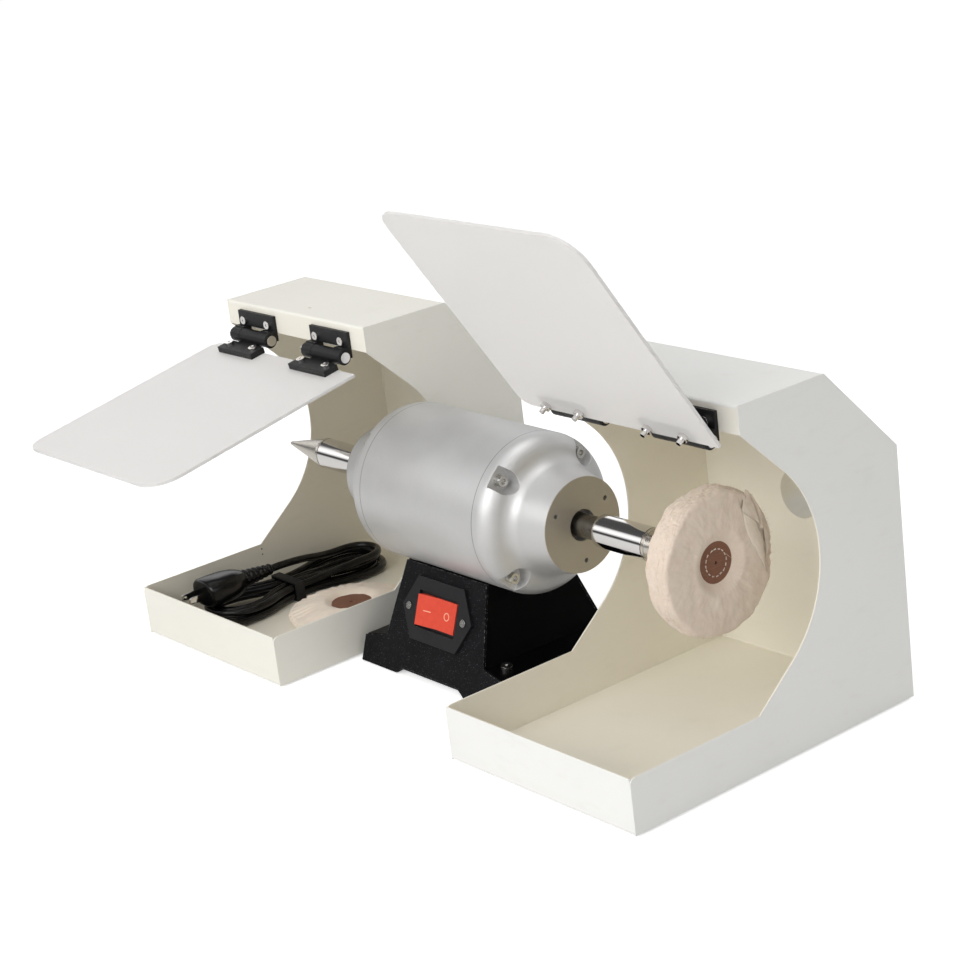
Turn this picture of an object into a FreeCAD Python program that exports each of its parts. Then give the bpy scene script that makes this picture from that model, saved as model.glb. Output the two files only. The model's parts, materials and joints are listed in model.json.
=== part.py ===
import FreeCAD, Part
import math
import os

import Sketcher
from FreeCAD import Placement, Rotation, Vector

# A bench-top polishing lathe of a dental laboratory, with two splash hoods.
# Millimetres, +Z up, the spindle along X, the operator on the -Y side.
# The origin is on the bench under the middle of the motor.

SIZES = {
    # Gaps between pieces
    "run_gap": 0.05,
    "slip_gap": 0.1,
    "seat_gap": 0.3,
    "overrun": 20.0,
    # Motor body and its castings
    "motor_seat_height": 74.3,
    "body_radius": 62.7,
    "body_half_length": 70.3,
    "body_wall": 4.0,
    "spigot_length": 4.0,
    "bell_rim_length": 3.7,
    "bell_shoulder_radius": 16.2,
    "bell_shoulder_angle": 17.5,
    "bell_throat_radius": 14.0,
    "bell_cone_angle": 12.0,
    "bell_length": 53.9,
    "bell_wall": 4.1,
    "pocket_wall": 3.0,
    "bell_hub_start": 17.7,
    "bell_hub_wall": 6.9,
    "shaft_hole_radius": 12.15,
    "face_hole_radius": 1.8,
    "face_hole_depth": 9.0,
    "face_hole_inset": 8.7,
    # Bearings, 20 x 42 x 12
    "bearing_outer_radius": 21.0,
    "bearing_bore_radius": 10.0,
    "bearing_width": 12.0,
    "bearing_start": 29.7,
    "bearing_pitch_radius": 15.5,
    "bearing_land": 1.9,
    "ball_radius": 3.175,
    "groove_gap": 0.08,
    # Shaft, stator and rotor
    "shaft_radius": 12.0,
    "spindle_radius": 9.0,
    "stator_half_length": 30.0,
    "stator_bore_radius": 31.0,
    "stator_yoke": 10.6,
    "stator_slot_width": 4.6,
    "winding_width": 4.0,
    "winding_inner_radius": 34.0,
    "winding_clearance": 4.6,
    "winding_overhang": 18.0,
    "rotor_gap": 0.4,
    "rotor_ring_length": 6.0,
    "rotor_ring_inner_radius": 20.0,
    # Through bolts of the motor, M5
    "bolt_inset": 8.2,
    "bolt_radius": 2.5,
    "bolt_hole_radius": 2.8,
    "bolt_head_radius": 4.25,
    "bolt_head_height": 5.0,
    "bolt_socket_radius": 2.2,
    "bolt_socket_depth": 2.5,
    "bolt_nut_radius": 4.6,
    "bolt_nut_height": 4.0,
    "washer_radius": 5.0,
    "washer_thickness": 1.0,
    "pocket_radius": 9.5,
    "pocket_floor_start": 8.7,
    # Sleeves and tapered spindles
    "sleeve_clearance": 23.8,
    "sleeve_length": 52.0,
    "sleeve_radius": 12.75,
    "sleeve_bore_depth": 28.0,
    "taper_shank_radius": 6.35,
    "taper_shank_length": 22.0,
    "taper_neck_radius": 11.5,
    "taper_neck_length": 0.8,
    "taper_ring_length": 2.7,
    "taper_base_radius": 12.4,
    "taper_tip_radius": 1.6,
    "taper_left_length": 53.5,
    "taper_right_length": 60.0,
    "set_screw_inset": 12.0,
    "set_screw_radius": 2.5,
    "set_screw_sink": 0.4,
    "set_screw_socket": 1.4,
    # Muslin buffs and their fibre hubs
    "buff_radius": 50.8,
    "buff_reach": 61.6,
    "buff_half_width": 9.0,
    "buff_rim_half_width": 6.0,
    "buff_pinch": 1.4,
    "buff_lip": 3.4,
    "buff_swell_radius": 30.0,
    "hub_radius": 17.7,
    "hub_disc": 1.5,
    "hub_core_radius": 8.0,
    "spare_buff_radius": 54.0,
    "spare_buff_half_width": 6.6,
    # Pedestal
    "pedestal_sheet": 2.0,
    "pedestal_half_depth": 71.0,
    "pedestal_lean_share": 0.36,
    "pedestal_top": 86.3,
    "pedestal_top_half": 49.9,
    "wall_foot_half": 61.5,
    "wall_foot_height": 26.0,
    "ledge_end_height": 21.0,
    "pedestal_half_width": 88.4,
    "pedestal_lift": 1.0,
    "notch_half": 33.0,
    "notch_half_foot": 43.0,
    "notch_rise": 6.0,
    "foot_radius": 8.0,
    "foot_height": 3.0,
    "foot_inset": 19.0,
    "base_sheet": 2.0,
    "base_gap": 1.0,
    "boss_radius": 6.0,
    "ledge_screw_x": 70.0,
    "ledge_screw_y": 46.0,
    "ledge_screw_radius": 2.5,
    "ledge_screw_head": 4.6,
    "ledge_screw_head_height": 2.6,
    "ledge_screw_length": 5.5,
    "boss_hole_radius": 3.8,
    # Saddle under the motor
    "saddle_bottom": 62.0,
    "saddle_top": 80.0,
    "saddle_half_depth": 26.0,
    "saddle_bolt_x": 35.0,
    "saddle_bolt_bite": 3.2,
    # Switch on the front plate, heights along the plate
    "switch_height": 57.8,
    "switch_plate_half": 43.0,
    "switch_plate_top_half": 28.5,
    "switch_plate_half_height": 25.3,
    "switch_plate_sheet": 3.0,
    "bezel_half_width": 24.3,
    "bezel_half_height": 14.55,
    "bezel_height": 1.2,
    "housing_half_width": 23.1,
    "housing_half_height": 13.3,
    "housing_depth": 20.0,
    "window_half_width": 22.2,
    "window_half_height": 12.5,
    "window_depth": 14.0,
    "rocker_half_width": 20.9,
    "rocker_end_height": 5.0,
    "rocker_middle_height": 2.0,
    "rocker_edge": 6.5,
    "rocker_root_half": 8.0,
    "rocker_root_depth": 8.0,
    "rocker_pivot_depth": 3.0,
    "rocker_pin_radius": 1.5,
    "rocker_throw": 8.0,
    "plate_screw_x": 34.0,
    "plate_screw_radius": 1.5,
    "plate_screw_head": 3.0,
    "plate_screw_head_height": 1.6,
    "plate_screw_length": 9.0,
    # Capacitor, terminal block and mains inlet
    "capacitor_radius": 17.5,
    "capacitor_half_length": 31.0,
    "capacitor_y": 18.0,
    "capacitor_rim": 1.5,
    "terminal_half_length": 24.0,
    "terminal_depth": 14.0,
    "terminal_height": 17.0,
    "terminal_y": -16.0,
    "terminal_hole_radius": 1.9,
    "inlet_height": 50.0,
    "inlet_half_width": 13.5,
    "inlet_half_height": 10.0,
    "inlet_flange_half_width": 15.5,
    "inlet_flange_half_height": 12.0,
    "inlet_flange": 3.0,
    "inlet_depth": 17.0,
    "inlet_cavity_half_width": 12.0,
    "inlet_cavity_half_height": 8.0,
    "inlet_cavity_depth": 16.0,
    "inlet_pin_half_width": 1.0,
    "inlet_pin_half_height": 2.0,
    "inlet_pin_pitch": 7.0,
    "inlet_pin_length": 10.0,
    # Splash hoods
    "hood_sheet": 1.2,
    "hood_width": 197.0,
    "hood_depth": 276.0,
    "hood_height": 265.2,
    "hood_rear_height": 194.9,
    "hood_top_front": 126.5,
    "hood_top_rear": 209.1,
    "hood_lip": 20.5,
    "hood_foot": 2.0,
    "hood_foot_radius": 7.0,
    "hood_foot_inset": 14.0,
    "tray_height": 43.6,
    "tray_end": 121.5,
    "hood_mouth_radius": 91.0,
    "hood_mouth_y": 101.0,
    "hood_mouth_z": 143.0,
    "hood_bend_radius": 2.2,
    "tray_corner_radius": 5.0,
    "hood_front_at": -145.35,
    "hood_right_clearance": 52.8,
    "hood_left_clearance": 26.9,
    "port_radius": 19.2,
    "port_height": 140.0,
    "dust_spigot_length": 30.0,
    "small_hole_radius": 1.6,
    "small_hole_y": 144.7,
    # Hinges and shields
    "pivot_gap": 8.0,
    "pivot_height": 240.0,
    "hinge_inset": 46.0,
    "leaf_half_width": 26.0,
    "leaf_sheet": 3.0,
    "leaf_top": 259.3,
    "leaf_bottom": 247.0,
    "ear_web_drop": 2.0,
    "knuckle_radius": 6.25,
    "knuckle_half_width": 12.7,
    "knuckle_gap": 0.3,
    "pin_radius": 2.5,
    "pin_head_radius": 4.4,
    "pin_head_height": 1.5,
    "tension_head_radius": 4.6,
    "tension_head_height": 3.0,
    "lip_screw_height": 251.5,
    "hinge_screw_pitch_half": 17.5,
    "hinge_screw_radius": 2.0,
    "hinge_screw_head": 3.6,
    "hinge_screw_head_height": 2.2,
    "lip_screw_length": 7.0,
    "shield_screw_length": 14.5,
    "hinge_screw_reach": 14.0,
    "hinge_nut_radius": 4.0,
    "hinge_nut_height": 3.2,
    "moving_leaf_half_width": 25.0,
    "moving_leaf_near": 8.0,
    "moving_leaf_far": 22.0,
    "moving_leaf_thickness": 4.8,
    "shield_width": 200.0,
    "shield_near": 9.0,
    "shield_far": 206.0,
    "shield_sheet": 2.5,
    "shield_drop": 7.0,
    "shield_big_corner": 25.0,
    "shield_small_corner": 15.0,
    "shield_hinge_corner": 10.0,
    "shield_left_angle": 11.0,
    "shield_right_angle": -57.0,
    # Spare buff, and the mains lead put away in the left tray
    "spare_buff_inset": 79.0,
    "spare_buff_y": 130.0,
    "cord_diameter": 6.5,
    "cord_pitch": 7.0,
    "hank_x": 38.0,
    "hank_front_y": 68.0,
    "hank_waist_y": 120.0,
    "hank_back_y": 190.0,
    "hank_fold_radius": 19.5,
    "hank_waist_inner": 4.0,
    "hank_waist_step": 9.8,
    "lead_rise_gap": 13.0,
    "relief_wall": 1.2,
    "connector_y": 15.4,
    "connector_length": 26.0,
    "connector_width": 27.0,
    "connector_height": 20.0,
    "connector_corner": 4.0,
    "connector_relief": 10.0,
    "connector_slot_depth": 14.0,
    "plug_x": 31.0,
    "plug_front_y": 38.0,
    "plug_length": 42.0,
    "plug_width": 34.0,
    "plug_height": 24.0,
    "plug_corner": 5.0,
    "plug_relief": 30.0,
    "blade_length": 17.0,
    "blade_height": 6.3,
    "blade_thickness": 1.5,
    "blade_pitch": 12.7,
    "hank_floor_gap": 1.9,
    "tie_width": 9.0,
    "tie_gap": 0.4,
    "tie_strap": 1.2,
}


class Size:
    """A number together with the sheet formula that gives it."""

    def __init__(self, value, formula):
        self.value = value
        self.formula = formula

    def joined(self, other, sign, value):
        return Size(value, "(%s %s %s)" % (self.formula, sign, other.formula))

    def __add__(self, other):
        other = as_size(other)
        return self.joined(other, "+", self.value + other.value)

    def __sub__(self, other):
        other = as_size(other)
        return self.joined(other, "-", self.value - other.value)

    def __mul__(self, other):
        other = as_size(other)
        return self.joined(other, "*", self.value * other.value)

    def __truediv__(self, other):
        other = as_size(other)
        return self.joined(other, "/", self.value / other.value)

    def __radd__(self, other):
        return as_size(other) + self

    def __rsub__(self, other):
        return as_size(other) - self

    def __rmul__(self, other):
        return as_size(other) * self

    def __rtruediv__(self, other):
        return as_size(other) / self

    def __neg__(self):
        return Size(-self.value, "(-1 * %s)" % self.formula)

    def __float__(self):
        return float(self.value)


def as_size(number):
    if isinstance(number, Size):
        return number
    return Size(float(number), "(%.9f)" % number)


def root(size):
    return Size(math.sqrt(size.value), "sqrt(%s)" % size.formula)


def sine(angle):
    return Size(math.sin(math.radians(angle.value)), "sin(%s * 1 deg)" % angle.formula)


def arctan(share):
    return Size(math.degrees(math.atan(share.value)), "(atan(%s) / 1 deg)" % share.formula)


def cosine(angle):
    return Size(math.cos(math.radians(angle.value)), "cos(%s * 1 deg)" % angle.formula)


# The document, its sheet of driving sizes and the list of finished nodes

doc = FreeCAD.newDocument("PolishingLathe")
sheet = doc.addObject("Spreadsheet::Sheet", "Sizes")
for row, (alias, number) in enumerate(SIZES.items(), start=1):
    sheet.set("A%d" % row, alias)
    sheet.set("B%d" % row, str(number))
    sheet.setAlias("B%d" % row, alias)
doc.recompute()


class SheetSizes:
    """Gives each cell of the sheet by its alias, as a Size."""

    def __getattr__(self, alias):
        return Size(float(sheet.get(alias)), "Sizes.%s" % alias)


s = SheetSizes()
nodes = {}


def finish(label, thing):
    """Names a finished piece and lists it as a node."""
    thing.Label = label
    nodes[label] = thing
    return thing


def bind(thing, prop, size):
    thing.setExpression(prop, as_size(size).formula)


def place(thing, x=0, y=0, z=0, axis=Vector(1, 0, 0), angle=0):
    """Puts a thing at a point, turned about an axis, all bound to the sheet."""
    place_spot = (as_size(x), as_size(y), as_size(z))
    turn = as_size(angle)
    thing.Placement = Placement(Vector(*[float(c) for c in place_spot]), Rotation(axis, float(turn)))
    for letter, size in zip("xyz", place_spot):
        bind(thing, "Placement.Base.%s" % letter, size)
    thing.setExpression("Placement.Rotation.Angle", turn.formula)
    return thing


# Sketches: a profile is a list of corners (x, y), or (x, y, radius) where the edge
# from that corner to the next is an arc, bulging to its right if the radius is positive

def arc_middle(start, end, radius):
    """The middle of an arc of under a half circle between two corners."""
    chord = Vector(end[0] - start[0], end[1] - start[1], 0)
    half = chord.Length / 2
    sagitta = abs(radius) - math.sqrt(radius * radius - half * half)
    side = Vector(chord.y, -chord.x, 0).normalize()
    return Vector((start[0] + end[0]) / 2, (start[1] + end[1]) / 2, 0) + side * math.copysign(sagitta, radius)


def end_number(sketch, edge, corner):
    """Which end of an edge, 1 or 2, lies on a corner."""
    first = sketch.getPoint(edge, 1)
    second = sketch.getPoint(edge, 2)
    here = Vector(corner[0], corner[1], 0)
    return 1 if (first - here).Length < (second - here).Length else 2


def constrain(sketch, size, kind, *where):
    number = sketch.addConstraint(Sketcher.Constraint(kind, *where, float(size)))
    sketch.setExpression("Constraints[%d]" % number, as_size(size).formula)


def add_profile(sketch, profile):
    """Draws a closed profile and fixes every corner and radius by the sheet."""
    first = sketch.GeometryCount
    count = len(profile)
    corners = [(float(point[0]), float(point[1])) for point in profile]
    for index, point in enumerate(profile):
        start = corners[index]
        end = corners[(index + 1) % count]
        ends = Vector(*start, 0), Vector(*end, 0)
        if len(point) > 2:
            edge = Part.Arc(ends[0], arc_middle(start, end, float(point[2])), ends[1])
        else:
            edge = Part.LineSegment(*ends)
        sketch.addGeometry(edge, False)
    for index, point in enumerate(profile):
        edge = first + index
        following = first + (index + 1) % count
        next_corner = corners[(index + 1) % count]
        here = end_number(sketch, edge, corners[index])
        there = end_number(sketch, edge, next_corner)
        onward = end_number(sketch, following, next_corner)
        sketch.addConstraint(Sketcher.Constraint("Coincident", edge, there, following, onward))
        constrain(sketch, as_size(point[0]), "DistanceX", -1, 1, edge, here)
        constrain(sketch, as_size(point[1]), "DistanceY", -1, 1, edge, here)
    for index, point in enumerate(profile):
        if len(point) > 2:
            radius = point[2] if float(point[2]) > 0 else -point[2]
            constrain(sketch, radius, "Radius", first + index)


def add_circle(sketch, x, y, radius):
    edge = sketch.GeometryCount
    sketch.addGeometry(Part.Circle(Vector(float(x), float(y), 0), Vector(0, 0, 1), float(radius)), False)
    constrain(sketch, as_size(x), "DistanceX", -1, 1, edge, 3)
    constrain(sketch, as_size(y), "DistanceY", -1, 1, edge, 3)
    constrain(sketch, radius, "Radius", edge)


def rectangle(half_width, half_height, x=0, y=0):
    """The corners of a rectangle about a point."""
    return [(x - half_width, y - half_height), (x + half_width, y - half_height),
            (x + half_width, y + half_height), (x - half_width, y + half_height)]


def new_body(name):
    return doc.addObject("PartDesign::Body", name)


def new_sketch(body, plane):
    """A sketch on one of the body's own origin planes, such as XZ_Plane."""
    sketch = body.newObject("Sketcher::SketchObject", body.Name + "_sketch")
    support = [feature for feature in body.Origin.OriginFeatures if feature.Role == plane][0]
    sketch.AttachmentSupport = (support, "")
    sketch.MapMode = "FlatFace"
    return sketch


def offset_sketch(sketch, distance):
    """Moves a sketch along its own normal."""
    sketch.AttachmentOffset = Placement(Vector(0, 0, float(distance)), Rotation())
    bind(sketch, "AttachmentOffset.Base.z", distance)


def padded(name, plane, profile, length, middle=False, start=None, circles=()):
    """A body padded from one profile, with round holes through it."""
    body = new_body(name)
    sketch = new_sketch(body, plane)
    if start is not None:
        offset_sketch(sketch, as_size(start))
    add_profile(sketch, profile)
    for circle in circles:
        add_circle(sketch, *circle)
    pad = body.newObject("PartDesign::Pad", name + "_pad")
    pad.Profile = sketch
    bind(pad, "Length", length)
    if middle:
        pad.SideType = "Symmetric"
    return body


def added(body, plane, length, profile=None, circles=(), start=None, middle=False):
    """Pads one more profile onto a body."""
    sketch = new_sketch(body, plane)
    if start is not None:
        offset_sketch(sketch, as_size(start))
    if profile is not None:
        add_profile(sketch, profile)
    for circle in circles:
        add_circle(sketch, *circle)
    pad = body.newObject("PartDesign::Pad", body.Name + "_more")
    pad.Profile = sketch
    bind(pad, "Length", length)
    if middle:
        pad.SideType = "Symmetric"
    return body


def pocketed(body, plane, length, profile=None, circles=(), start=None, middle=False, reverse=False):
    """Cuts a pocket from a plane into a body, and checks that it took material away."""
    doc.recompute()
    before = body.Shape.Volume
    sketch = new_sketch(body, plane)
    if start is not None:
        offset_sketch(sketch, as_size(start))
    if profile is not None:
        add_profile(sketch, profile)
    for circle in circles:
        add_circle(sketch, *circle)
    pocket = body.newObject("PartDesign::Pocket", body.Name + "_pocket")
    pocket.Profile = sketch
    bind(pocket, "Length", length)
    pocket.Reversed = reverse
    if middle:
        pocket.SideType = "Symmetric"
    doc.recompute()
    if not body.Shape.Volume < before:
        raise ValueError("the pocket of %s cuts nothing" % body.Name)
    return body


def turned(name, profile):
    """A body turned about the X axis from a profile of (along the axis, radius)."""
    body = new_body(name)
    sketch = new_sketch(body, "XZ_Plane")
    add_profile(sketch, profile)
    revolution = body.newObject("PartDesign::Revolution", name + "_turn")
    revolution.Profile = sketch
    revolution.ReferenceAxis = (sketch, ["H_Axis"])
    revolution.Angle = 360
    return body


def ring(name, start, end, outer, inner):
    """A plain turned ring or tube."""
    return turned(name, [(start, inner), (end, inner), (end, outer), (start, outer)])


def rod(name, start, end, radius):
    """A plain turned rod."""
    return turned(name, [(start, 0), (end, 0), (end, radius), (start, radius)])


def filleted(body, radius, chosen):
    """Rounds those edges of a body for which chosen(edge) is true."""
    doc.recompute()
    base = body.Tip
    names = ["Edge%d" % number for number, edge in enumerate(base.Shape.Edges, start=1) if chosen(edge)]
    fillet = body.newObject("PartDesign::Fillet", body.Name + "_fillet")
    fillet.Base = (base, names)
    bind(fillet, "Radius", radius)
    return body


def edge_at(direction, *spots):
    """Tells whether a straight edge runs along a direction through one of the spots."""
    def chosen(edge):
        if not isinstance(edge.Curve, Part.Line):
            return False
        if abs(edge.Curve.Direction.dot(direction)) < 1 - NEAR_SHARE:
            return False
        for point in spots:
            away = Vector(*[float(c) for c in point]) - edge.CenterOfMass
            if (away - direction * away.dot(direction)).Length < float(s.hood_sheet) * NEAR_SHARE:
                return True
        return False
    return chosen


NEAR_SHARE = 0.01


def boolean(kind, name, base, tool):
    result = doc.addObject("Part::%s" % kind, name)
    result.Base = base
    result.Tool = tool
    return result


def fused(name, things):
    result = doc.addObject("Part::MultiFuse", name)
    result.Shapes = things
    return result


def copies(name, original, placements):
    """Separate copies of one piece, each at a placement of its own."""
    doc.recompute()
    group = doc.addObject("Part::Feature", name)
    shapes = []
    for placement in placements:
        shape = original.Shape.copy()
        shape.Placement = placement.multiply(shape.Placement)
        shapes.append(shape)
    group.Shape = Part.makeCompound(shapes)
    return group


def mirrored(name, source, normal=Vector(1, 0, 0)):
    """The same piece on the other side of the plane through the origin, YZ unless told."""
    result = doc.addObject("Part::Mirroring", name)
    result.Source = source
    result.Normal = normal
    return result


def spot(x=0, y=0, z=0, axis=Vector(1, 0, 0), angle=0):
    """A plain placement from sizes."""
    return Placement(Vector(float(x), float(y), float(z)), Rotation(axis, float(angle)))


def offset_path(points, distance):
    """The points of an open path moved to its left by a distance, mitred at its corners."""
    normals = []
    for (ax, ay), (bx, by) in zip(points, points[1:]):
        length = root((bx - ax) * (bx - ax) + (by - ay) * (by - ay))
        normals.append(((ay - by) / length, (bx - ax) / length))
    moved = []
    for index, (px, py) in enumerate(points):
        before = normals[max(index - 1, 0)]
        after = normals[min(index, len(normals) - 1)]
        reach = distance / (1 + before[0] * after[0] + before[1] * after[1])
        moved.append((px + reach * (before[0] + after[0]), py + reach * (before[1] + after[1])))
    return moved


# Heights and places along the spindle, each measured from the piece that it follows
axis_height = s.motor_seat_height + s.body_radius
bolt_circle = s.body_radius - s.bolt_inset
bell_face_at = s.body_half_length + s.bell_length
bell_inner_end = s.body_half_length + s.bell_hub_start
bearing_at = s.body_half_length + s.bearing_start
pocket_floor_at = s.body_half_length + s.pocket_floor_start
sleeve_at = bell_face_at + s.sleeve_clearance
sleeve_end = sleeve_at + s.sleeve_length
buff_middle_at = sleeve_end + s.buff_reach

SPINDLE_LINE = {"z": axis_height}
ACROSS = Vector(1, 0, 0)
ALONG = Vector(0, 1, 0)
UP = Vector(0, 0, 1)


# Motor body, end bells and through bolts

body_inner = s.body_radius - s.body_wall
bell_seat_at = bearing_at + s.bearing_width + s.slip_gap
stator_radius = body_inner - s.slip_gap
cavity_radius = stator_radius - s.body_wall
bell_inner_radius = bolt_circle - s.pocket_radius - s.pocket_wall
stator_slot_top = stator_radius - s.stator_yoke
winding_outer_radius = cavity_radius - s.winding_clearance


def build_motor_body():
    tube = ring("motor_tube", -s.body_half_length, s.body_half_length, s.body_radius, body_inner)
    place(tube, **SPINDLE_LINE)
    hole = doc.addObject("Part::Cylinder", "saddle_thread")
    bind(hole, "Radius", s.bolt_radius + s.run_gap)
    bind(hole, "Height", s.body_wall * 2)
    bottom = s.motor_seat_height - s.body_wall / 2
    holes = copies("saddle_threads", hole, [
        spot(x=side * s.saddle_bolt_x, z=bottom) for side in (-1, 1)])
    finish("motor_body", boolean("Cut", "motor_body", tube, holes))


def bell_outside():
    """Points of the right bell's outside, as (x, radius), from its shoulder to its face."""
    rim_end = s.body_half_length + s.bell_rim_length
    shoulder = (rim_end, s.body_radius - s.bell_shoulder_radius)
    turn = (cosine(s.bell_shoulder_angle), sine(s.bell_shoulder_angle))
    both = s.bell_shoulder_radius + s.bell_throat_radius
    throat = (shoulder[0] + both * turn[0], shoulder[1] + both * turn[1])
    meeting = (shoulder[0] + s.bell_shoulder_radius * turn[0], shoulder[1] + s.bell_shoulder_radius * turn[1])
    cone_start = (throat[0] - s.bell_throat_radius * sine(s.bell_cone_angle),
                  throat[1] - s.bell_throat_radius * cosine(s.bell_cone_angle))
    slope = sine(s.bell_cone_angle) / cosine(s.bell_cone_angle)
    face_radius = cone_start[1] - (bell_face_at - cone_start[0]) * slope
    return rim_end, meeting, cone_start, face_radius


def bell_profile():
    """Half section of the right bell, outside first, then the hub and the cavity."""
    rim_end, meeting, cone_start, face_radius = bell_outside()
    seat_radius = s.bearing_outer_radius + s.run_gap / 2
    cavity_end = pocket_floor_at - s.bell_wall - s.washer_thickness
    spigot_end = s.body_half_length - s.spigot_length
    return [
        (spigot_end, stator_radius),
        (s.body_half_length, stator_radius),
        (s.body_half_length, s.body_radius),
        (rim_end, s.body_radius, -s.bell_shoulder_radius),
        (meeting[0], meeting[1], s.bell_throat_radius),
        (cone_start[0], cone_start[1]),
        (bell_face_at, face_radius),
        (bell_face_at, s.shaft_hole_radius),
        (bell_seat_at, s.shaft_hole_radius),
        (bell_seat_at, seat_radius),
        (bearing_at - s.washer_thickness, seat_radius),
        (bearing_at - s.washer_thickness, cone_start[1] - s.bell_hub_wall),
        (bell_inner_end, bell_inner_radius),
        (cavity_end, bell_inner_radius),
        (cavity_end, cavity_radius),
        (spigot_end, cavity_radius),
    ]


def around_spindle(radius, x, angle, turn_in=0):
    """A placement at a radius from the spindle line; the local Z axis lies along +X."""
    y = float(radius) * math.cos(math.radians(angle))
    z = float(radius) * math.sin(math.radians(angle))
    lay = Rotation(Vector(0, 1, 0), 90).multiply(Rotation(Vector(0, 0, 1), turn_in))
    return Placement(Vector(float(x), y, z), lay)


BOLT_ANGLES = (45, 135, 225, 315)
FACE_HOLE_ANGLES = (150, 30, 270)


def build_bells():
    bell = turned("bell_turned", bell_profile())
    pocket = doc.addObject("Part::Cylinder", "bell_pocket_round")
    bind(pocket, "Radius", s.pocket_radius)
    bind(pocket, "Height", s.overrun)
    mouth = doc.addObject("Part::Box", "bell_pocket_mouth")
    bind(mouth, "Length", s.pocket_radius * 2)
    bind(mouth, "Width", s.pocket_radius * 2)
    bind(mouth, "Height", s.overrun)
    # The mouth box opens the pocket towards the rim
    place(mouth, x=-s.pocket_radius)
    hole = doc.addObject("Part::Cylinder", "bell_bolt_hole")
    bind(hole, "Radius", s.bolt_hole_radius)
    bind(hole, "Height", s.overrun)
    place(hole, z=-s.overrun)
    tool = fused("bell_pocket", [pocket, mouth, hole])
    pockets = copies("bell_pockets", tool, [
        around_spindle(bolt_circle, pocket_floor_at, angle, angle) for angle in BOLT_ANGLES])
    small = doc.addObject("Part::Cylinder", "bell_face_hole")
    bind(small, "Radius", s.face_hole_radius)
    bind(small, "Height", s.overrun)
    smalls = copies("bell_face_holes", small, [
        around_spindle(bell_outside()[-1] - s.face_hole_inset, bell_face_at - s.face_hole_depth, angle)
        for angle in FACE_HOLE_ANGLES])
    bored = boolean("Cut", "bell_bored", boolean("Cut", "bell_pocketed", bell, pockets), smalls)
    right = place(bored, **SPINDLE_LINE)
    finish("end_bell_right", right)
    finish("end_bell_left", mirrored("bell_mirrored", right))


def bolt_profile(grip_start, grip_end, head_radius, head_height, radius, socket_radius, socket_depth):
    """A cap screw along X: shank from grip_start to grip_end, head beyond it, with a socket."""
    top = grip_end + head_height
    return [
        (grip_start, 0), (grip_start, radius), (grip_end, radius), (grip_end, head_radius),
        (top, head_radius), (top, socket_radius), (top - socket_depth, socket_radius), (top - socket_depth, 0),
    ]


def on_bolt_circle(x=0):
    lift = spot(z=axis_height)
    return [lift.multiply(Placement(Vector(
        float(x), float(bolt_circle) * math.cos(math.radians(angle)),
        float(bolt_circle) * math.sin(math.radians(angle))), Rotation())) for angle in BOLT_ANGLES]


def build_through_bolts():
    seat = pocket_floor_at + s.washer_thickness
    nut_end = seat + s.bolt_nut_height
    bolt = turned("through_bolt", bolt_profile(
        -nut_end - s.washer_thickness, seat, s.bolt_head_radius, s.bolt_head_height,
        s.bolt_radius, s.bolt_socket_radius, s.bolt_socket_depth))
    finish("through_bolts", copies("through_bolt_set", bolt, on_bolt_circle()))
    nut = doc.addObject("Part::Prism", "through_bolt_hexagon")
    nut.Polygon = 6
    bind(nut, "Circumradius", s.bolt_nut_radius)
    bind(nut, "Height", s.bolt_nut_height)
    bore = doc.addObject("Part::Cylinder", "through_bolt_nut_bore")
    bind(bore, "Radius", s.bolt_radius + s.run_gap)
    bind(bore, "Height", s.bolt_nut_height)
    drilled = boolean("Cut", "through_bolt_nut", nut, bore)
    place(drilled, x=-nut_end, axis=Vector(0, 1, 0), angle=90)
    finish("through_bolt_nuts", copies("through_bolt_nut_set", drilled, on_bolt_circle()))
    washer = ring("bolt_washer", pocket_floor_at, seat, s.washer_radius, s.bolt_radius + s.slip_gap)
    far = ring("bolt_washer_left", -seat, -pocket_floor_at, s.washer_radius, s.bolt_radius + s.slip_gap)
    pair = doc.addObject("Part::Compound", "bolt_washer_pair")
    pair.Links = [washer, far]
    finish("bolt_washers", copies("bolt_washer_set", pair, on_bolt_circle()))


# Stator, rotor, shaft and bearings

SLOT_COUNT = 24


def slot_tools(name, inner, outer, width, half_length):
    """Straight bars round the spindle line, one for each stator slot."""
    bar = doc.addObject("Part::Box", name)
    bind(bar, "Length", half_length * 2)
    bind(bar, "Width", width)
    bind(bar, "Height", outer - inner)
    place(bar, x=-half_length, y=-width / 2, z=inner)
    turns = [Placement(Vector(), Rotation(ACROSS, 360 / SLOT_COUNT * number)) for number in range(SLOT_COUNT)]
    return copies(name + "_set", bar, turns)


def build_stator():
    core = ring("stator_ring", -s.stator_half_length, s.stator_half_length, stator_radius, s.stator_bore_radius)
    slots = slot_tools("stator_slot", s.stator_bore_radius - s.seat_gap, stator_slot_top,
                       s.stator_slot_width, s.stator_half_length + s.seat_gap)
    hole = rod("stator_hole", -s.body_half_length, s.body_half_length, s.bolt_hole_radius)
    lowered = [spot(z=-axis_height).multiply(one) for one in on_bolt_circle()]
    holes = copies("stator_holes", hole, lowered)
    slotted = boolean("Cut", "stator_slotted", core, slots)
    finish("stator_core", place(boolean("Cut", "stator_core", slotted, holes), **SPINDLE_LINE))
    bars = slot_tools("winding_bar", s.winding_inner_radius, stator_slot_top - s.seat_gap,
                      s.winding_width, s.stator_half_length + s.winding_overhang / 2)
    start = s.stator_half_length + s.seat_gap
    end = s.stator_half_length + s.winding_overhang
    heads = [ring("winding_head_right", start, end, winding_outer_radius, s.winding_inner_radius),
             ring("winding_head_left", -end, -start, winding_outer_radius, s.winding_inner_radius)]
    finish("stator_windings", place(fused("stator_windings", [bars] + heads), **SPINDLE_LINE))


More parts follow.
